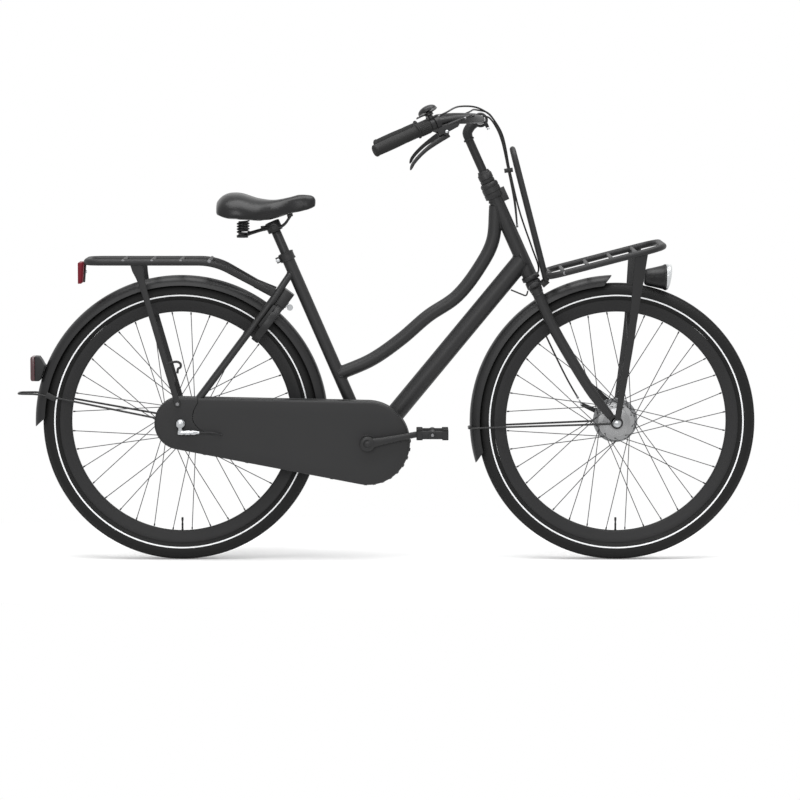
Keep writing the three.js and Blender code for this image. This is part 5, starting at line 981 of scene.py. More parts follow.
# Reflector
# A red moulded reflector with a grained face and a thinner red back, screwed to the tab of the carrier by
# one plated screw.
red = procedural("red_reflector", (0.12, 0.007, 0.014), 0.45, grain=240, bump=0.4, patch=0.12,
                 Specular_IOR_Level=0.15)


def plate(outline, low, high, ease):
    """A side-view outline of (x, z) pairs given a thickness across, with rounded edges: the rows nearest
    each face are the outline drawn in along its corners' mean normals."""
    flat = np.array(outline, float)
    runs = unit(np.roll(flat, -1, 0) - flat)
    normals = np.stack([-runs[:, 1], runs[:, 0]], -1)
    area = np.sum(flat[:, 0] * np.roll(flat[:, 1], -1) - np.roll(flat[:, 0], -1) * flat[:, 1])
    before = np.roll(normals, 1, 0)
    spread = np.maximum(1 + np.sum(normals * before, 1, keepdims=True), 0.4)
    inwards = np.sign(area) * (normals + before) / spread
    rows = [(low + ease * (1 - math.sin(a)), ease * (1 - math.cos(a))) for a in np.radians((90, 60, 30, 0))]
    rows += [(high + low - y, inset) for y, inset in rows[::-1]]
    drawn = [(flat + inwards * inset, y) for y, inset in rows]
    return woven(np.array([np.stack([line[:, 0], np.full(len(line), y), line[:, 1]], -1)
                           for line, y in drawn]))


def beside(place, outline):
    """An outline of (x, z) pairs in the side view, moved so that it stands round a place."""
    return [(place[0] + x, place[2] + z) for x, z in outline]


reflector_half = 42
red_outline = [(-4, 5), (-15, 5), (-15.5, 3), (-15.5, -47), (-15, -49), (-7, -49), (-6, -47)]
back_outline = [(0, 7), (-3.7, 7), (-6.4, -46), (-3.4, -46)]
screw_profile = [(1.5, -2), (1.8, 0), (3.6, 0.2), (3.6, 2.6), (2.6, 3.4), (1, 3.5)]
red_face = plate(beside(reflector_top, red_outline), -reflector_half, reflector_half, 1)
red_back = plate(beside(reflector_top, back_outline), 3 - reflector_half, reflector_half - 3, 1)
screw = turned(screw_profile, reflector_top + (1.6, 0, -20), forwards, 20)
piece("rear_reflector_plate", [([red_face, red_back], red), ([screw], plated)], "rear_reflector")

# Rear lamp
# A black plastic housing that sits on the arch of the mudguard, and a dark red moulded lens behind it.
lamp_low, lamp_high, lamp_back, lamp_half = 106, 170, 380, 27
arch_radius = guard_radius + 0.6
arch = [(-math.sqrt(arch_radius ** 2 - rise ** 2), rise) for rise in np.linspace(145, 115, 13)]
housing = [(-lamp_back, lamp_high), (-369, 169), (-362, 159), (-357, 149), *arch, (-367, 108),
           (-371, lamp_low), (-lamp_back, lamp_low)]
lens = [(-0.3, lamp_low), (-0.3, lamp_high), (-8, lamp_high), (-11, lamp_high - 2), (-12, lamp_high - 6),
        (-12, lamp_low + 6), (-11, lamp_low + 2), (-8, lamp_low)]
lens_red = procedural("lamp_lens_red", (0.045, 0.007, 0.010), 0.2, grain=200, bump=0.3, patch=0.15,
                      Specular_IOR_Level=0.8)
housing_shell = plate(beside(rear_axle, housing), -lamp_half, lamp_half, 2)
lens_shell = plate(beside(rear_axle - forwards * lamp_back, lens), -lamp_half, lamp_half, 3)
piece("rear_lamp_housing", [([housing_shell], pedal_black)], "rear_lamp_body")
piece("rear_lamp_glass", [([lens_shell], lens_red)], "rear_lamp_lens")

# Hub brakes
# Cast aluminium brake plates beside the hubs. The front one has a ring of cooling ribs, a black reaction
# arm to the fork and a cable lever; the rear one has a long black arm clamped under the chain stay.
brake_cast = procedural("cast_aluminium", (0.27, 0.275, 0.28), 0.45, metallic=0.9, grain=350, bump=0.3,
                        patch=0.12)
brake_start, brake_depth, brake_radius = 29.5, 15, 36
cooling_radius, cooling_inner, cooling_ribs, rib_thickness = 58, 31, 36, 1.8
brake_side, rear_arm_side, arm_thickness = 37, 37, 4
cooling_profile = collar(cooling_inner, cooling_radius, brake_start, 32, 0.6)
cable_end_profile = [(1, 0), (3.4, 0.4), (3.4, 3), (2.4, 3.6), (2.4, 13), (1.2, 13.6), (1, 17)]


def brake_drum(centre, radius, start, end, hub_end, frame_inner):
    """A closed section turned round the axle: a cone by the hub, a stepped plate and a spacer outside."""
    profile = [(5.5, hub_end + 0.3), (14, hub_end + 0.3), (14, start), (radius - 1, start),
               (radius, start + 1), (radius, end - 3), (radius - 2, end - 1), (radius * 0.78, end - 0.4),
               (radius * 0.76, end - 2), (radius * 0.6, end - 2), (radius * 0.56, end), (14, end + 0.3),
               (9, end + 0.9), (9, frame_inner - 0.3), (5.5, frame_inner - 0.3), (5.5, hub_end + 0.3)]
    return turned(profile, centre, sides=96)


cast = [brake_drum(front_axle, brake_radius, brake_start, brake_start + brake_depth, 27, 50),
        turned(cooling_profile, front_axle, sides=96)]
cast += [bar(about(front_axle, cooling_inner, turn, brake_side),
             about(front_axle, cooling_radius - 1, turn, brake_side), across,
             (brake_depth * 0.8, brake_depth * 0.35), rib_thickness, 0.7)
         for turn in (np.arange(cooling_ribs) + 0.5) * 360 / cooling_ribs]
arms = [bar(about(front_axle, 29, 112, brake_side), on_steer(108, 23, brake_side), forwards, (36, 24),
            arm_thickness),
        bar(about(front_axle, 29, 155, brake_side), on_steer(74, -14, brake_side), forwards, (14, 10),
            arm_thickness)]
cable_barrel = turned(cable_end_profile, on_steer(71, -13.5, brake_side),
                      on_steer(90, -15, brake_side) - on_steer(71, -13.5, brake_side), 20)
piece("front_brake_plate", [(cast, brake_cast), (arms, arm_black), ([cable_barrel], plated)], "front_brake")
rear_arm = bar(about(rear_axle, 32, -25, rear_arm_side), rear_axle + (132, rear_arm_side, -28), upward,
               (36, 14), arm_thickness)
piece("rear_brake_plate", [([brake_drum(rear_axle, 46, 35, 52, 31, 65)], brake_cast),
                           ([rear_arm], arm_black)], "rear_brake")

# Gear changer
# On the right axle end: a plated cap, the elbow below it, a click cylinder with rings, and its cable's end.
click_radius, click_length, click_drop, click_side = 6.5, 49, 22, 89.4
click_start = rear_axle - across * click_side - upward * click_drop
click_end = click_start + forwards * click_length
cap = [(5.5, 80), (9.4, 80), (10, 80.6), (10, 84), (9, 85), (9, 86), (10, 87), (10, 95), (8, 97), (3, 97.4),
       (5.5, 97.2), (5.5, 84), (5.5, 80)]
cap_middle = [(1, 96.6), (5.4, 96.6), (5.4, 97.2), (4, 97.6), (1, 97.6)]
click = [(3, -6.5), (5.4, -6), (6.5, -4), (6.5, 8), (5.6, 9), (5.6, 12), (6.5, 13), (6.5, 25), (5.4, 26),
         (5.4, 28), (6.5, 29), (6.5, 38), (5, 40), (4.2, 44), (3.6, 49)]
changer = [turned(cap, rear_axle, -across, 40), turned(cap_middle, rear_axle, -across, 32),
           tube([click_start + upward * click_drop, click_start], 5.85, 28),
           turned(click, click_start, forwards, 32)]
tail_path = bent([click_end - forwards, click_end + forwards * click_length * 0.7,
                  np.array([rear_axle[0] + 107, -80.6, click_end[2] - 6.5])], click_radius, 6)
piece("gear_changer_box", [(changer, plated), ([tube(tail_path, 2.3, 20)], pedal_black)], "gear_changer")

# Fork
# A steel steerer through the head tube, locked above it by a stack of nuts, a round crown, and two blades
# that taper and curve forwards to plates that hold the front axle.
crown_radius, blade_half, blade_radius = 17, 47, 14
blade_up_shares = (1, 0.965, 0.75, 0.48, 0.23, 0.055)
blade_ahead_shares = (0, 0, 0, 0.2, 0.48, 0.84)
blade_out_shares = (0, 0, 0, 0.25, 0.7, 1)
blade_radius_shares = (1, 1, 1, 0.893, 0.714, 0.5)
blade_breadth_shares = (1, 1, 1, 1, 0.93, 0.72)
fork_rake, fork_end_middle, fork_end_radius = 50, 53, 16
steerer_top = head_top + 76
stack_start = head_top + upper_cup_height + 0.3
stack = [(13, 0), (18, 0.2), (19, 1.2), (19, 8), (17.6, 9), (17.6, 10), (19, 11), (19, 24), (18, 25.5),
         (16.5, 26), (16.5, 29), (15, 30.5), (15, steerer_top - stack_start), (13, steerer_top - stack_start)]
crown_profile = [(15, 0), (20, 0.5), (20, 17), (18.4, 19), (17.6, 21.7), (15, 21.7)]
blade_collar_profile = [(11, -2), (13.4, 0), (14, 3), (13.4, 5)]
guard_bracket = unit(on_steer(crown_place) - front_axle)
fork_shells = [tube([on_steer(crown_place - 19), on_steer(steerer_top)], 13.2, 36),
               turned(stack, on_steer(stack_start), steer_up, 48),
               tube([on_steer(crown_place, 0, -blade_half), on_steer(crown_place, 0, blade_half)],
                    crown_radius, 40, 2.5), turned(crown_profile, on_steer(crown_place), steer_up, 48),
               bar(on_steer(crown_place), front_axle + guard_bracket * guard_radius, across, (20, 17), 5,
                   1.5)]
for side in (-1, 1):
    outwards, blade_spread = across * side, fork_end_middle - blade_half
    stops = [on_steer(up * crown_place, ahead * fork_rake, side * (blade_half + out * blade_spread))
             for up, ahead, out in zip(blade_up_shares, blade_ahead_shares, blade_out_shares)]
    path = through(stops, 48)
    up_shares = (path - steer_foot) @ steer_up / crown_place
    narrow, broad = (blade_radius * np.interp(up_shares, blade_up_shares[::-1], shares[::-1])
                     for shares in (blade_radius_shares, blade_breadth_shares))
    oval = np.stack([ring(1, 36) * pair for pair in zip(narrow, broad)])
    fork_shells += [carried(path, oval), turned(blade_collar_profile, stops[0] + steer_up * 6, steer_up, 36),
                    bar(stops[-1], front_axle + outwards * fork_end_middle, steer_ahead, (18, 25), 6, 1.6),
                    disc(front_axle, outwards, fork_end_radius, fork_end_middle - 3, fork_end_middle + 3),
                    weld(stops[2], stops[0] - stops[2], blade_radius, on_steer(crown_place), across,
                         crown_radius)]
piece("fork_blades", [(fork_shells, coat)], "fork", sharp=45)

# Steering spring
# A bent spring wire between fork crown and down tube, which brings the wheel back to straight ahead.
spring_wire, spring_sag = 2, 24
down_ahead = unit(down_head - down_foot)
down_under = np.array([down_ahead[2], 0, -down_ahead[0]])
spring_start = on_steer(crown_place, -crown_radius - 3.8)
spring_end = down_head - down_ahead * 80 + down_under * (down_tube_radius + 2.3)
spring_low = (spring_start + spring_end) / 2 + down_under * spring_sag
spring_path = bent([spring_start, spring_low, spring_end], spring_sag, 14)
piece("steering_spring_wire", [([tube(spring_path, spring_wire, 16, 0.8)], coat)], "steering_spring",
      bends=(spring_end, spring_start))

# Stem and handlebar
# A swept steel handlebar held in the clamp of a tall black stem, whose quill goes down into the steerer.
stem_top, stem_ahead = head_top + 199, 48
clamp_reach, clamp_outer, handlebar_radius = 23, 19, 11.1
bar_back, bar_half, bar_drop = 269, 300, 72
bar_back_shares = (0, 0.005, 0.03, 0.14, 0.27, 0.405)
bar_out_shares = (0, 0.13, 0.33, 0.56, 0.7, 0.793)
bar_drop_shares = (0, 0, -0.05, -0.06, -0.05, 0)
bar_clamp = on_steer(stem_top, stem_ahead)
bar_coat = procedural("handlebar_black_coat", 0.011, 0.4, grain=700, bump=0.06, patch=0.06)


def bar_point(side, back, out, drop):
    """A point of the handlebar by its shares of the sweep back, the half width and the drop of the ends."""
    return bar_clamp + (-back * bar_back, side * out * bar_half, -drop * bar_drop)


half_bar = {side: through([bar_point(side, *shares)
                           for shares in zip(bar_back_shares, bar_out_shares, bar_drop_shares)], 40)
            for side in (-1, 1)}
bar_end = {side: bar_point(side, 1, 1, 1) for side in (-1, 1)}
bar_out = {side: unit(bar_end[side] - half_bar[side][-1]) for side in (-1, 1)}
bar_path = [bar_end[-1], *half_bar[-1][:0:-1], bar_clamp, *half_bar[1][1:], bar_end[1]]
piece("handlebar_tube", [([carried(bar_path, ring(handlebar_radius, 32), upward)], bar_coat)], "handlebar")
neck = through([on_steer(stem_top - 34), on_steer(stem_top - 16, 4), on_steer(stem_top - 4, 20),
                on_steer(stem_top, stem_ahead - 12)], 20)
neck_radii = np.interp(np.linspace(0, 1, 21), (0, 0.3, 1), (handlebar_radius, 13, 13))
clamp_profile = collar(12.6, clamp_outer, -clamp_reach, clamp_reach, 1.6)
neck_ring = [(11.2, -3), (13.8, -2.4), (14.4, 0), (13.8, 2.4), (11.2, 3)]
stem_bolt_profile = [(1.6, 1), (1.8, 3), (3.6, 3), (3.8, 0), (3.4, -0.6)]
stem_shells = [tube([on_steer(head_top - 20), on_steer(stem_top - 30)], handlebar_radius, 36),
               tube(neck, neck_radii, 36), turned(neck_ring, on_steer(stem_top - 34), steer_up, 36),
               turned(clamp_profile, bar_clamp, sides=48),
               bar(on_steer(stem_top - 25, stem_ahead + 9), on_steer(stem_top - 8, stem_ahead + 9), across,
                   (30, 34), 9, 2)]
stem_bolts = [turned(stem_bolt_profile, on_steer(stem_top - 28, stem_ahead + 9, side), -steer_up, 20)
              for side in (-9, 9)]
piece("stem_quill", [(stem_shells, bar_coat), (stem_bolts, plated)], "stem")

# Grips and twist shifter
# Soft black rubber grips with a ribbed inner end, a fuller palm and an end flange, and beside the right one
# the twist shifter: a fluted sleeve in a fixed collar.
grip_length, grip_radius, grip_flange = 125, 15.5, 19
grip_rubber = procedural("grip_rubber", (0.009, 0.009, 0.009), 0.68, grain=1300, bump=0.35)
ribs = [(grip_radius - (0.9 if k % 2 else 0.1), -grip_length + 6 + k * 2.2) for k in range(16)]
palm = [(grip_radius - 0.7 + 0.7 * math.sin(math.pi * s), -86 + 82 * s) for s in np.linspace(0, 1, 14)]
grip_profile = [(1, 0.3), (12, 0.3), (12, -grip_length), (grip_flange - 1, -grip_length),
                (grip_flange, -grip_length + 1), (grip_flange, -grip_length + 3.4),
                (16.4, -grip_length + 4.4), *ribs, *palm, (grip_radius + 0.4, -2), (grip_radius, 2.5),
                (grip_radius - 2.5, 4.6), (6, 5), (1, 5)]
for side, name in ((-1, "right"), (1, "left")):
    grip = turned(grip_profile, bar_end[side], bar_out[side], 48)
    piece(f"{name}_grip_rubber", [([grip], grip_rubber)], f"{name}_grip", sharp=50)
shifter_radius, shifter_length = 17.5, 33
flute_columns, flute_depth = 96, 0.9
sleeve_rows = [(12, 0, 0), (15.6, 0, 0), (16.8, 0.8, 0), (16.8, 3, 0), (shifter_radius, 3.6, 1),
               (shifter_radius, 28, 1), (16.8, 28.8, 0), (16.8, 31.6, 0), (15.6, 32.4, 0), (12, 32.4, 0)]


def fluted_sleeve(foot, axis):
    """Rows are circles of sleeve_rows; where a row is fluted, two columns of every four are set in."""
    aside = unit(np.cross(axis, upward))
    over = np.cross(axis, aside)
    column = np.arange(flute_columns)
    t = (column + 0.5) * 2 * np.pi / flute_columns
    around = np.cos(t)[:, None] * aside + np.sin(t)[:, None] * over
    rows = [foot + axis * along + (radius - fluted * flute_depth * (column % 4 < 2))[:, None] * around
            for radius, along, fluted in sleeve_rows]
    return woven(np.array(rows), endless=True)


sleeve = fluted_sleeve(bar_end[-1] - bar_out[-1] * (grip_length + shifter_length), bar_out[-1])
piece("twist_shifter_sleeve", [([sleeve], grip_rubber)], "twist_shifter", sharp=30)

# Brake brackets and levers
# Black brackets clamped round the bar with a plated screw, two cheeks for the lever's pivot and a nose that
# the cable leaves by. The levers are forged blades with a rounded end, which turn on steel pins.
bracket_place, bracket_half, cheek_side = 165, 6.5, 5.5
pivot_back, pivot_drop = -24, 33
lever_reach, lever_drop, lever_radius, blade_depth = 108, 82, 7, 3.3
lever_reach_shares = (-0.25, 0.176, 0.528, 0.861, 1)
lever_drop_shares = (0.4756, 0.561, 0.6707, 0.8537, 1)
lever_radius_shares = (1.2, 1.0, 0.74, 0.68, 0.6)
housing_back, housing_drop, housing_out, housing_radius = -72, 21, 9, 4.5
bell_place, bell_seat = -6, 24
band_profile = collar(12.3, 16, -bracket_half, bracket_half, 1.2)
shifter_band_profile = [(12.3, -20.5), (16.4, -20.5), (17.5, -19.4), (17.5, -8), (16, -7), (12.3, -7),
                        (12.3, -20.5)]
nozzle_profile = [(4.6, 0), (4.6, 5), (3.6, 5.6), (3.6, 9), (3, 9.6)]
pivot_screw_profile = [(2, 6), (4, 6.2), (4, 8.4), (3.2, 9), (1, 9)]
lever_boss_profile = collar(3.2, 7, -3.5, 3.5, 0.6)
bracket_black = procedural("bracket_black", 0.011, 0.42, grain=600, bump=0.12, patch=0.08)
bar_down = {}
for side in (-1, 1):
    lean = [vector - (vector @ bar_out[side]) * bar_out[side] for vector in (-upward, across * side)]
    bar_down[side] = unit(unit(lean[0]) + 0.35 * unit(lean[1]))


def on_lever(side, from_clamp, drop, aside=0.0):
    """A point by its reach out from the bracket, its drop from the bar and its shift square to both."""
    return (bar_end[side] - bar_out[side] * bracket_place + bar_out[side] * from_clamp + bar_down[side] * drop
            + np.cross(bar_out[side], bar_down[side]) * aside)


for side, name in ((-1, "right"), (1, "left")):
    clamp_place, pivot = on_lever(side, 0, 0), on_lever(side, pivot_back, pivot_drop)
    nose_end = on_lever(side, housing_back, housing_drop, -side * housing_out)
    nose = through([on_lever(side, -bracket_half, 15.5), on_lever(side, -40, 19, -side * 4), nose_end], 12)
    cross_way = np.cross(bar_out[side], bar_down[side])
    shells = [turned(band_profile, clamp_place, bar_out[side], 44),
              tube([on_lever(side, -3.2, 12.8, -7), on_lever(side, -3.2, 12.8, 7)], 6.5, 28, 1.2),
              tube(nose, np.linspace(6, 4.6, 13), 24), turned(nozzle_profile, nose_end, -bar_out[side], 24)]
    for face in (-1, 1):
        cheek = face * cheek_side
        shells += [bar(on_lever(side, 0, 11, cheek), on_lever(side, pivot_back, pivot_drop + 3.5, cheek),
                       bar_out[side], (13, 14), 3, 1),
                   bar(on_lever(side, -4, 22, cheek), on_lever(side, -62, 26, cheek - side * 3),
                       bar_down[side], (26, 11), 3, 1)]
    screws = [turned(pivot_screw_profile, pivot, cross_way * face, 20) for face in (-1, 1)]
    screws.append(tube([pivot - cross_way * 6, pivot + cross_way * 6], 2.5, 16))
    if side < 0:
        shells += [turned(shifter_band_profile, clamp_place, bar_out[side], 44),
                   tube([on_lever(side, bell_place, -11), on_lever(side, bell_place, -bell_seat)], 7, 28,
                        0.8)]
    piece(f"{name}_lever_bracket", [(shells, bracket_black), (screws, plated)], f"{name}_brake_bracket")
    blade_stops = zip(lever_reach_shares, lever_drop_shares)
    path = through([on_lever(side, reach * lever_reach, drop * lever_drop) for reach, drop in blade_stops],
                   34)
    radii = lever_radius * np.interp(np.linspace(0, 1, 35), np.linspace(0, 1, 5), lever_radius_shares)
    radii[-4:] *= (0.98, 0.9, 0.7, 0.35)
    sections = np.stack([ring(1, 24) * (min(radius * 0.5, blade_depth), radius) for radius in radii])
    blade, boss = carried(path, sections, cross_way), turned(lever_boss_profile, pivot, cross_way, 32)
    piece(f"{name}_lever_blade", [([blade, boss], bracket_black)], f"{name}_brake_lever", sharp=50)

# Bell
# A black domed bell with a rolled rim over its foot, on a post on the right bracket, with a thumb lever
# that turns round the post.
bell_radius, bell_height, bell_axis = 26, 26, -bar_down[-1]
bell_black = procedural("bell_black", 0.012, 0.32, grain=300, bump=0.05, patch=0.05)
bell_foot = on_lever(-1, bell_place, -bell_seat - 0.3)
dome = [(0.96 * math.cos(a), 0.5 + 0.5 * math.sin(a)) for a in np.radians(np.linspace(0, 86, 16))]
bell_shares = [(0.02, 0), (0.42, 0), (0.42, 0.14), (0.21, 0.16), (0.21, 0.4), (0.84, 0.42), (0.9, 0.37),
               (1, 0.36), (1, 0.41), (0.965, 0.44), *dome]
bell_shell = turned(np.array(bell_shares) * (bell_radius, bell_height), bell_foot, bell_axis, 56)
piece("bell_dome", [([bell_shell], bell_black)], "bell", sharp=40)
thumb_foot = bell_foot + bell_axis * 4.3
thumb_rises, thumb_reaches = (-1, 0, 0, 0.6, 1.4), (9, 20, 28, 33, 34)
thumb_sizes = ((8, 2), (8.6, 2), (10.4, 2.2), (11.4, 3.2), (10.6, 4))
thumb_path = [thumb_foot + bell_axis * (2 + rise) + bar_out[-1] * reach
              for rise, reach in zip(thumb_rises, thumb_reaches)]
thumb_blade = carried(thumb_path, np.array([strip(*size, 1) for size in thumb_sizes]),
                      np.cross(bar_out[-1], bell_axis))
thumb_ring = turned(collar(6.4, 11, 0, 4, 0.6), thumb_foot, bell_axis, 40)
piece("bell_thumb_lever", [([thumb_ring, thumb_blade], bracket_black)], "bell_lever")

# Front carrier
# Bent and welded steel tube: a sloping deck with four cross bars, a narrow upright loop that keeps the load
# off the bars, flattened legs to the axle, straps to the fork crown and the tab that holds the lamp.
deck_radius, loop_radius = 8.2, 7.4
deck_foot, deck_nose = np.array((424, 44)), np.array((373, 344))
front_rail, front_corner = 150, 60
loop_half, loop_corner, loop_top, loop_foot = 42, 38, (756, 93), (410, 34)
front_bar_shares = (0.13, 0.345, 0.555, 0.765)
leg_share, foot_side, leg_thickness = 0.8, 67, 4.6
front_leg_shares, front_leg_widths = (0, 0.06, 0.12, 0.6, 1), (33, 33, 20, 18, 15)
lamp_tab_width, lamp_tab_thickness = 14, 4
lamp_rise, lamp_ahead, lamp_length = 375, 81, 48
lamp_centre = front_axle + (lamp_ahead, 0, lamp_rise)
front_plug_profile = [(4.6, 4.6), (4.4, 6.6), (2.6, 7.2), (1, 7.3)]


def deck(share, side=0):
    """A point of the deck by its share of the way from the fork to the nose."""
    return on_steer(*deck_foot + share * (deck_nose - deck_foot), side)


half = {side: [deck(0, side * loop_half), deck(0, side * front_rail), deck(1, side * front_rail)]
        for side in (-1, 1)}
loop = [on_steer(*place, side * loop_half) for place, side in ((loop_foot, -1), (loop_top, -1), (loop_top, 1),
                                                               (loop_foot, 1))]
shells = [tube(bent([*half[-1], *half[1][::-1]], front_corner, 12), deck_radius, 28),
          tube(bent(loop, loop_corner, 12), loop_radius, 28, 1.5),
          tube([deck(0, -loop_half - loop_radius), deck(0, loop_half + loop_radius)], deck_radius * 1.2, 28,
               2)]
# The bar-end plugs take the same light grey, a painted highlight on the lit bar ends.
plugs = []
for share in front_bar_shares:
    shells.append(tube([deck(share, -front_rail), deck(share, front_rail)], bar_radius, 24))
    plugs += [turned(front_plug_profile, deck(share, side * front_rail), across * side, 24)
              for side in (-1, 1)]
for side in (-1, 1):
    start, foot = deck(leg_share, side * front_rail), front_axle + across * side * foot_side
    bend = start + (foot - start) * (0.42, 0.5, 0.5)
    knee = foot + (bend - foot) * (0.2, 0, 0.2)
    path = bent([start, bend, knee, foot], 40, 6)
    reach = np.concatenate([[0], np.cumsum(np.linalg.norm(np.diff(path, axis=0), axis=1))])
    widths = np.interp(reach / reach[-1], front_leg_shares, front_leg_widths)
    shells += [carried(path, np.array([strip(width, leg_thickness, 1.8) for width in widths]), forwards),
               turned(collar(6, 10, -2, 2, 0.6), foot, across, 36),
               bar(on_steer(loop_foot[0], loop_foot[1] + 3.5, side * loop_half),
                   on_steer(crown_place, 18.2, side * loop_half), steer_up, lamp_tab_width,
                   lamp_tab_thickness)]
lamp_hold = lamp_centre - forwards * 7
shells += [bar(deck(front_bar_shares[-1]), lamp_hold, across, lamp_tab_width, lamp_tab_thickness),
           tube([lamp_hold - forwards * 4, lamp_centre - forwards * 0.3], 7, 28, 0.8)]
piece("front_carrier_rack", [(shells, carrier_coat), (plugs, bolt_grey_and_painted_plug_highlight)], "front_carrier")

# Headlamp
# A black plastic cone hung under the deck, closed in front by a wide clear lens that slants a little.
glass_slant = 0.15
lamp_black = procedural("lamp_plastic", 0.01, 0.38, grain=800, bump=0.1, patch=0.08)
lens_clear = procedural("lamp_lens_clear", (0.50, 0.515, 0.52), 0.12, grain=120, bump=0.25, patch=0.05,
                        Specular_IOR_Level=0.9, Coat_Weight=0.6, Coat_Roughness=0.04)
cone = [(2, -10), (14, -10), (19, -7.5), (22, -2), (24.4, 10), (27.6, 24), (31, 38), (33.4, 43), (34, 44),
        (34, 47.2), (33.4, 48), (2, 48)]
piece("headlamp_housing", [([turned(cone, lamp_centre, forwards, 64)], lamp_black)], "headlamp_body")
glass = [(2, 0.3), (33, 0.3), (34, 1), (34, 6), (32.4, 8.6), (29, 10.6), (23, 12.2), (15, 13.3), (8, 13.8),
         (1, 14)]
glass_shell = turned(glass, lamp_centre + forwards * lamp_length, forwards, 64)
glass_reach = glass_shell[0][:, 0] - lamp_centre[0] - lamp_length
glass_shell[0][:, 0] += glass_slant * (glass_shell[0][:, 2] - lamp_centre[2]) * np.clip(glass_reach / 6, 0, 1)
piece("headlamp_glass", [([glass_shell], lens_clear)], "headlamp_lens", sharp=50)

# Cables
# Black plastic-coated cable housings with plated ferrules: the rear brake's and the gear's cross from the
# bars to the head tube, and the front brake's runs down the left blade to its lever.
cable_radius, cables_apart, cable_entry = 2.3, 7, 566
clip_ends = np.array([(306, -3, 1012), (328, -3, 1015)])
ferrule_profile = [(2.4, 0), (2.9, 0.4), (2.9, 8), (2.4, 8.6)]
cable_black = procedural("cable_housing", (0.008, 0.008, 0.008), 0.4, grain=1500, bump=0.08)


def cable_start(side):
    """Where the cable leaves the nose of the brake bracket."""
    return on_lever(side, housing_back - housing_radius - 1.2, housing_drop, -side * housing_out)


def head_entry(side):
    """Where the cable enters the frame, in front of the head tube."""
    return on_steer(cable_entry, head_tube_radius + 0.3 + cable_radius, side * cables_apart / 2)


gear_start = on_lever(-1, -14 - bracket_half - 1.2, -handlebar_radius - cable_radius - 0.3)
blade_stops = ((884, 52, 64), (862, 76, 30), (795, 80, 12), (708, 64, 11), (600, 44, 16), (500, 35, 22),
               (446, 30, 36), (424, 16, 61), (385, -6, 68), (335, -24, 59), (279, -25, 50), (150, -21, 44),
               (90, -15, 37.5))
nose_runs = {side: [cable_start(side), cable_start(side) - bar_out[side] * 23] for side in (-1, 1)}
cable_routes = {
    "rear_brake_cable": [*nose_runs[-1], (236, -58, 1152), (264, -32, 1151), (285, -17, 1124),
                         (299, -10, 1090), (316, -6, 1015), (332, -4, 934), head_entry(-1)],
    "gear_cable": [gear_start, gear_start - bar_out[-1] * 23, (191, -96, 1180), (232, -58, 1177),
                   (264, -34, 1160), (284, -18, 1136), (301, -8, 1104), (319, 0, 1018), (334, 3, 934),
                   head_entry(1)],
    "front_brake_cable": [*nose_runs[1], *[on_steer(*stop) for stop in blade_stops]]}
for name, route in cable_routes.items():
    path = through(route, 120)
    ferrules = [turned(ferrule_profile, path[end], path[step] - path[end], 20)
                for end, step in ((0, 2), (-1, -3))]
    crosses = name != "front_brake_cable"
    shells = [carried(path, ring(cable_radius, 16), upward if crosses else across)]
    if name == "gear_cable":
        shells.append(bar(*clip_ends, across, 15, 11, 2))
    piece(f"{name}_housing", [(shells, cable_black), (ferrules, steel)], name, sharp=60,
          bends=(on_steer(cable_entry + 20), on_steer(830)) if crosses else None)

# Seat post
# A straight black steel post that slides in the seat tube, with fine height rings low down.
post_radius, post_foot, post_top, clamp_rise = 12.3, seat_tube_length - 196, seat_tube_length + 70, 12
height_rings = [(post_radius - (0.12 if k % 2 else 0), post_foot + 60 + k * 5) for k in range(18)]
post_profile = [(11, post_foot), (post_radius, post_foot + 1.5), *height_rings,
                (post_radius, post_top + clamp_rise - 1), (11.6, post_top + clamp_rise)]
piece("seatpost_tube", [([turned(post_profile, crank_axle, seat_up, 48)], bar_coat)], "seatpost")

# Saddle frame and springs
# Bent black wires run from the nose to a clamp on the post and back to two pads, which stand on coil
# springs of black wire under the saddle's rear.
saddle_rear = on_seat(post_top)[0] - 152.4
saddle_low = on_seat(post_top)[2] + 15.7
saddle_length, saddle_width, saddle_height = 262, 210, 77
boss_place, boss_side, pad_radius = saddle_rear + 72, 52, 15
coil_radius, coil_wire, coil_curls, coil_steps, coil_end = 13, 2, 4, 40, 4
spring_top, spring_height = saddle_low + 4, 36
pad_top = spring_top - spring_height - 0.6
clamp_spot = on_seat(post_top + clamp_rise - 11.5)
rail_wire, nose_boss, nose_low = 3.5, saddle_rear + 197, saddle_low + saddle_height * 0.23
nose_bar = np.array([(nose_boss + 3.5, 0, nose_low), (nose_boss - 10.5, 0, nose_low - 3.5)])
clamp_collar_profile = [(13.2, -23), (18.8, -23), (19.8, -22), (19.8, 2), (18.6, 4), (14, 5), (13.2, 5),
                        (13.2, -23)]
frame_parts = [turned(clamp_collar_profile, on_seat(post_top + clamp_rise), seat_up, 44),
               tube([clamp_spot - across * 23, clamp_spot + across * 23], 11.4, 32, 1.2),
               bar(clamp_spot + (-34, 0, -3), clamp_spot + (12, 0, 1), across, (30, 46), 12, 3)]
bolts = [nut(clamp_spot + across * side * 23, across * side, 8, 5) for side in (-1, 1)]
frame_parts.append(bar(*nose_bar, across, 33.6, 7, 2))
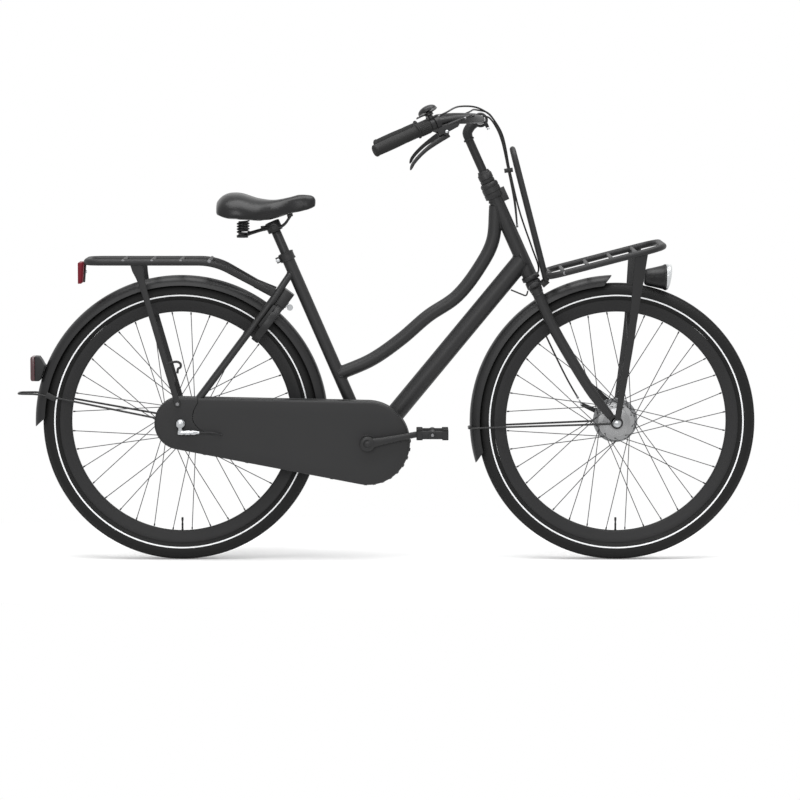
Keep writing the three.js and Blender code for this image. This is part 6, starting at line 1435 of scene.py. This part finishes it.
for side, name in ((-1, "right"), (1, "left")):
    pad = np.array([boss_place, side * boss_side, pad_top])
    rail = [(nose_boss, side * 12.6, nose_low), clamp_spot + (23, side * 17.3, 0),
            clamp_spot + (-23, side * 19.8, -rail_wire), pad - upward * rail_wire]
    frame_parts.append(tube(bent(rail, 23, 8), rail_wire, 20))
    frame_parts.append(disc(pad - upward * 7, upward, pad_radius, 0, 7, 1, 40))
    k = np.arange(coil_curls * coil_steps + 1)
    turn = 2 * np.pi * k / coil_steps
    rise = pad_top + 0.3 + coil_end + k * (spring_height - 2 * coil_end) / (coil_curls * coil_steps)
    helix = np.stack([boss_place + coil_radius * np.cos(turn),
                      side * (boss_side + coil_radius * np.sin(turn)), rise], -1)
    wire = np.vstack([helix[0] - upward * coil_end, helix, helix[-1] + upward * coil_end])
    coil = carried(wire, ring(coil_wire, 12), np.array([0.05, 0.05, 1.0]))
    piece(f"saddle_coil_{name}", [([coil], bar_coat)], f"saddle_spring_{name}")
piece("saddle_frame_wires", [([*frame_parts, *bolts], bar_coat)], "saddle_frame")

# Saddle cover
# A broad padded city saddle: a wide rear, a long nose, a shallow dip along the middle and a drawn-in skirt,
# covered in grained black leather cloth. Pressure swells the shape, as padding does.
place_shares = (0, 0.03, 0.11, 0.24, 0.43, 0.58, 0.74, 0.87, 0.96, 1)
width_shares = (0.57, 0.81, 0.95, 1, 0.84, 0.57, 0.34, 0.26, 0.2, 0.12)
top_shares = (0.42, 0.69, 0.93, 0.965, 0.775, 0.73, 0.84, 0.965, 0.93, 0.78)
edge_shares = (0.24, 0.19, 0.1, 0.06, 0.01, 0.05, 0.23, 0.32, 0.42, 0.5)
dip_half_width, dip_depth, hollow_share = 11, 4, 0.1
voxel, pressure, frames, movement, shrink = 3.6, 4, 20, 2.4, 1.6
saddle_leather = procedural("saddle_leather", 0.006, 0.3, grain=520, bump=0.45, patch=0.08, wear=0.06)


def smooth_share(shares, place):
    """Shares over place_shares, read at each place along a smooth curve through their points."""
    curve = through([(p * 2, s, 0) for p, s in zip(place_shares, shares)], 200)
    return np.interp(place, curve[:, 0] / 2, curve[:, 1])[:, None]


def saddle_shape(inset, rows=56, columns=40):
    """Rows along the saddle, columns round it by s: half width * |cos s|^0.72, and crown * |sin s|^0.8 above
    the skirt, less a shallow dip along the middle; the underside is rounded up a little. The inset draws the
    shape in."""
    place = 0.5 - 0.5 * np.cos(np.pi * np.linspace(0.03, 0.97, rows))
    half, top, edge = (smooth_share(shares, place) for shares in (width_shares, top_shares, edge_shares))
    half = half * saddle_width / 2
    low, high = saddle_low + edge * saddle_height, saddle_low + top * saddle_height
    s = np.arange(columns) * 2 * np.pi / columns
    out = np.sign(np.cos(s)) * np.abs(np.cos(s)) ** 0.72
    over = np.where(np.sin(s) > 0, np.abs(np.sin(s)) ** 0.8, 0)
    under = np.where(np.sin(s) <= 0, np.abs(np.sin(s)) ** 0.9, 0)
    fall = np.sin(np.pi * place[:, None]) ** 0.6 * (over > 0.5)
    dip = np.exp(-(out * half / dip_half_width) ** 2) * dip_depth * fall
    y = out * (half - inset)
    z = low + inset + (high - inset - low - inset) * (over + hollow_share * under) - dip
    x = saddle_rear + place[:, None] * saddle_length + np.zeros_like(y)
    x = np.clip(x, saddle_rear + inset, saddle_rear + saddle_length - inset)
    return woven(np.stack([x, y, z], -1))


def places(shape):
    """The places of a mesh's vertices, one row each."""
    flat = np.zeros(len(shape.vertices) * 3)
    shape.vertices.foreach_get("co", flat)
    return flat.reshape(-1, 3)


def cushion(name, shells, finish, node):
    """A padded piece: its shell is remeshed evenly, swollen by a short cloth simulation under pressure
    whose movement is capped, and subdivided once."""
    made = piece(name, [(shells, finish)], node, sharp=180)
    bpy.ops.object.select_all(action="DESELECT")
    bpy.context.view_layer.objects.active = made
    made.select_set(True)
    remesh = made.modifiers.new("even", "REMESH")
    remesh.mode, remesh.voxel_size, remesh.use_smooth_shade = "VOXEL", voxel * millimetre, True
    even = made.modifiers.new("even out", "SMOOTH")
    even.iterations = 10
    made.data = shape = evaluated(made)
    cloth = made.modifiers.new("swell", "CLOTH")
    cloth.settings.use_pressure = True
    cloth.settings.uniform_pressure_force = pressure
    cloth.settings.effector_weights.gravity = 0
    for step in range(1, frames + 1):
        bpy.context.scene.frame_set(step)
    swollen = evaluated(made)
    bpy.context.scene.frame_set(1)
    moved = places(swollen) - places(shape)
    length = np.linalg.norm(moved, axis=1, keepdims=True)
    moved *= np.minimum(1, movement * millimetre / np.maximum(length, 1e-9))
    shape.vertices.foreach_set("co", (places(shape) + moved).ravel())
    shape.polygons.foreach_set("use_smooth", np.ones(len(shape.polygons), bool))
    finer = made.modifiers.new("finer", "SUBSURF")
    finer.levels = finer.render_levels = 1


cushion("saddle_padding", [saddle_shape(shrink)], saddle_leather, "saddle_cover")

# Ring lock
# A black horseshoe round the tyre on the seat stays, with its lock housing above, a slot for the knob of
# the shackle, and a key in its cylinder. The shackle is a bent steel bar with a coated knob.
lock_up = about(rear_axle, 1, end_turn) - rear_axle
lock_normal = np.array([lock_up[2], 0, -lock_up[0]])
lock_centre = about(rear_axle, 335, end_turn) + lock_normal * 25
lock_inner, lock_outer, lock_half = 50, 68, 10.5
shackle_place, shackle_radius, tunnel_radius, knob_turn = 59, 4.5, 6.4, 146
lock_lug_side, lock_lug_rise, lock_lug_faces = 52.5, 22, (-9.5, -16.7)
slot_section = np.array([(-6, -4), (14, -4), (14, 4), (-6, 4)], float)
lock_barrel_profile = [(7, -1), (9, 0), (9, 2), (8, 2.6), (6.6, 2.6), (6.6, 2), (1, 2)]
knob_profile = [(2.6, 4), (3, 9), (3, 15), (3.4, 16), (5.6, 17.5), (6, 20), (5.6, 22), (4, 23), (1, 23)]
lock_black = procedural("lock_plastic", 0.01, 0.42, grain=700, bump=0.15, patch=0.08)


def on_lock(radius, degrees, depth=0.0):
    """A point round the lock's ring: nought degrees points at the wheel's axle, and ninety to the left."""
    angle = np.radians(degrees)
    return (lock_centre - lock_up * radius * np.cos(angle) + across * radius * np.sin(angle)
            + lock_normal * depth)


def lock_arc(radius, start, end, count):
    """Evenly spaced points round the lock's ring."""
    return np.array([on_lock(radius, turn) for turn in np.linspace(start, end, count)])


def round_lock(path, section):
    """A section carried along an arc of the lock, its width outwards and its height to the lock's face."""
    outwards = unit(path - lock_centre)
    return woven(path[:, None] + section[:, :1] * outwards[:, None] + section[:, 1:] * lock_normal)


lock_section = strip(lock_outer - lock_inner, 2 * lock_half, 3.5)
lock_ring = round_lock(lock_arc(shackle_place, 41, 319, 61), lock_section)
lock = piece("ring_lock_housing", [([lock_ring], lock_black)], "ring_lock_body", sharp=40)
tunnel = tube(lock_arc(shackle_place, 36, 186, 49), tunnel_radius, 24)
carved(lock, [tunnel, round_lock(lock_arc(shackle_place + 6, 40, 150, 34), slot_section)], sharp=40)
head_and_lugs = [bar(on_lock(-56, 0, -5), on_lock(-104, 0, -5), across, (60, 51), 34, 7)]
for side in (-1, 1):
    lug = lock_centre + lock_up * lock_lug_rise + across * side * lock_lug_side
    head_and_lugs.append(bar(*[lug + lock_normal * face for face in lock_lug_faces], lock_up, (70, 64), 9, 2))
key_foot = on_lock(-71, 0, lock_half + 1)
barrel_and_key = [turned(lock_barrel_profile, key_foot, lock_normal, 36),
                  bar(key_foot + lock_normal, key_foot + lock_normal * 8, lock_up, (6.5, 7), 2, 0.5),
                  disc(key_foot + lock_normal * 11, across, 8, -1.1, 1.1, 0.5, 32)]
piece("ring_lock_head", [(head_and_lugs, lock_black), (barrel_and_key, plated)], "ring_lock_body", sharp=40)
shackle = tube(lock_arc(shackle_place, 43, 181, 46), shackle_radius, 24, 1.5)
knob_foot = on_lock(shackle_place, knob_turn)
knob = turned(knob_profile, knob_foot, on_lock(shackle_place + 1, knob_turn) - knob_foot, 28)
piece("ring_lock_shackle_bar", [([shackle], plated), ([knob], lock_black)], "ring_lock_shackle", sharp=40)

# Side stand
# A black steel leg that turns on a pin under the left chain stay and lies back along it when folded, with a
# rubber foot.
stand_folded = unit(np.array([-0.998, 0.052, 0.042]))
stand_middle = stand_pivot + stand_axis * 6.3
stand_length, stand_radius, stand_foot_length = 296, 6, 26
foot_start = stand_middle + stand_folded * (stand_length - stand_foot_length)
stand_hub_profile = [(5, 2.3), (10, 2.3), (11, 3.2), (11, 9.4), (10, 10.3), (5, 10.3), (5, 2.3)]
foot_profile = [(6, 0), (7.6, 1), (7.6, 6), (7, 7), (7.6, 8), (7.6, 13), (7, 14), (7.6, 15), (8.4, 22),
                (8.4, 30), (6.8, 32), (1, 32)]
stand_parts = [turned(stand_hub_profile, stand_pivot, stand_axis, 40),
               bar(stand_middle, stand_middle + stand_folded * 24, np.cross(stand_axis, stand_folded),
                   (16.5, 12), 7.2, 2), tube([stand_middle + stand_folded * 15,
                                              foot_start + stand_folded * 8], stand_radius, 28)]
stand_foot = turned(foot_profile, foot_start, stand_folded, 32)
piece("side_stand_leg", [(stand_parts, coat), ([stand_foot], grip_rubber)], "side_stand")
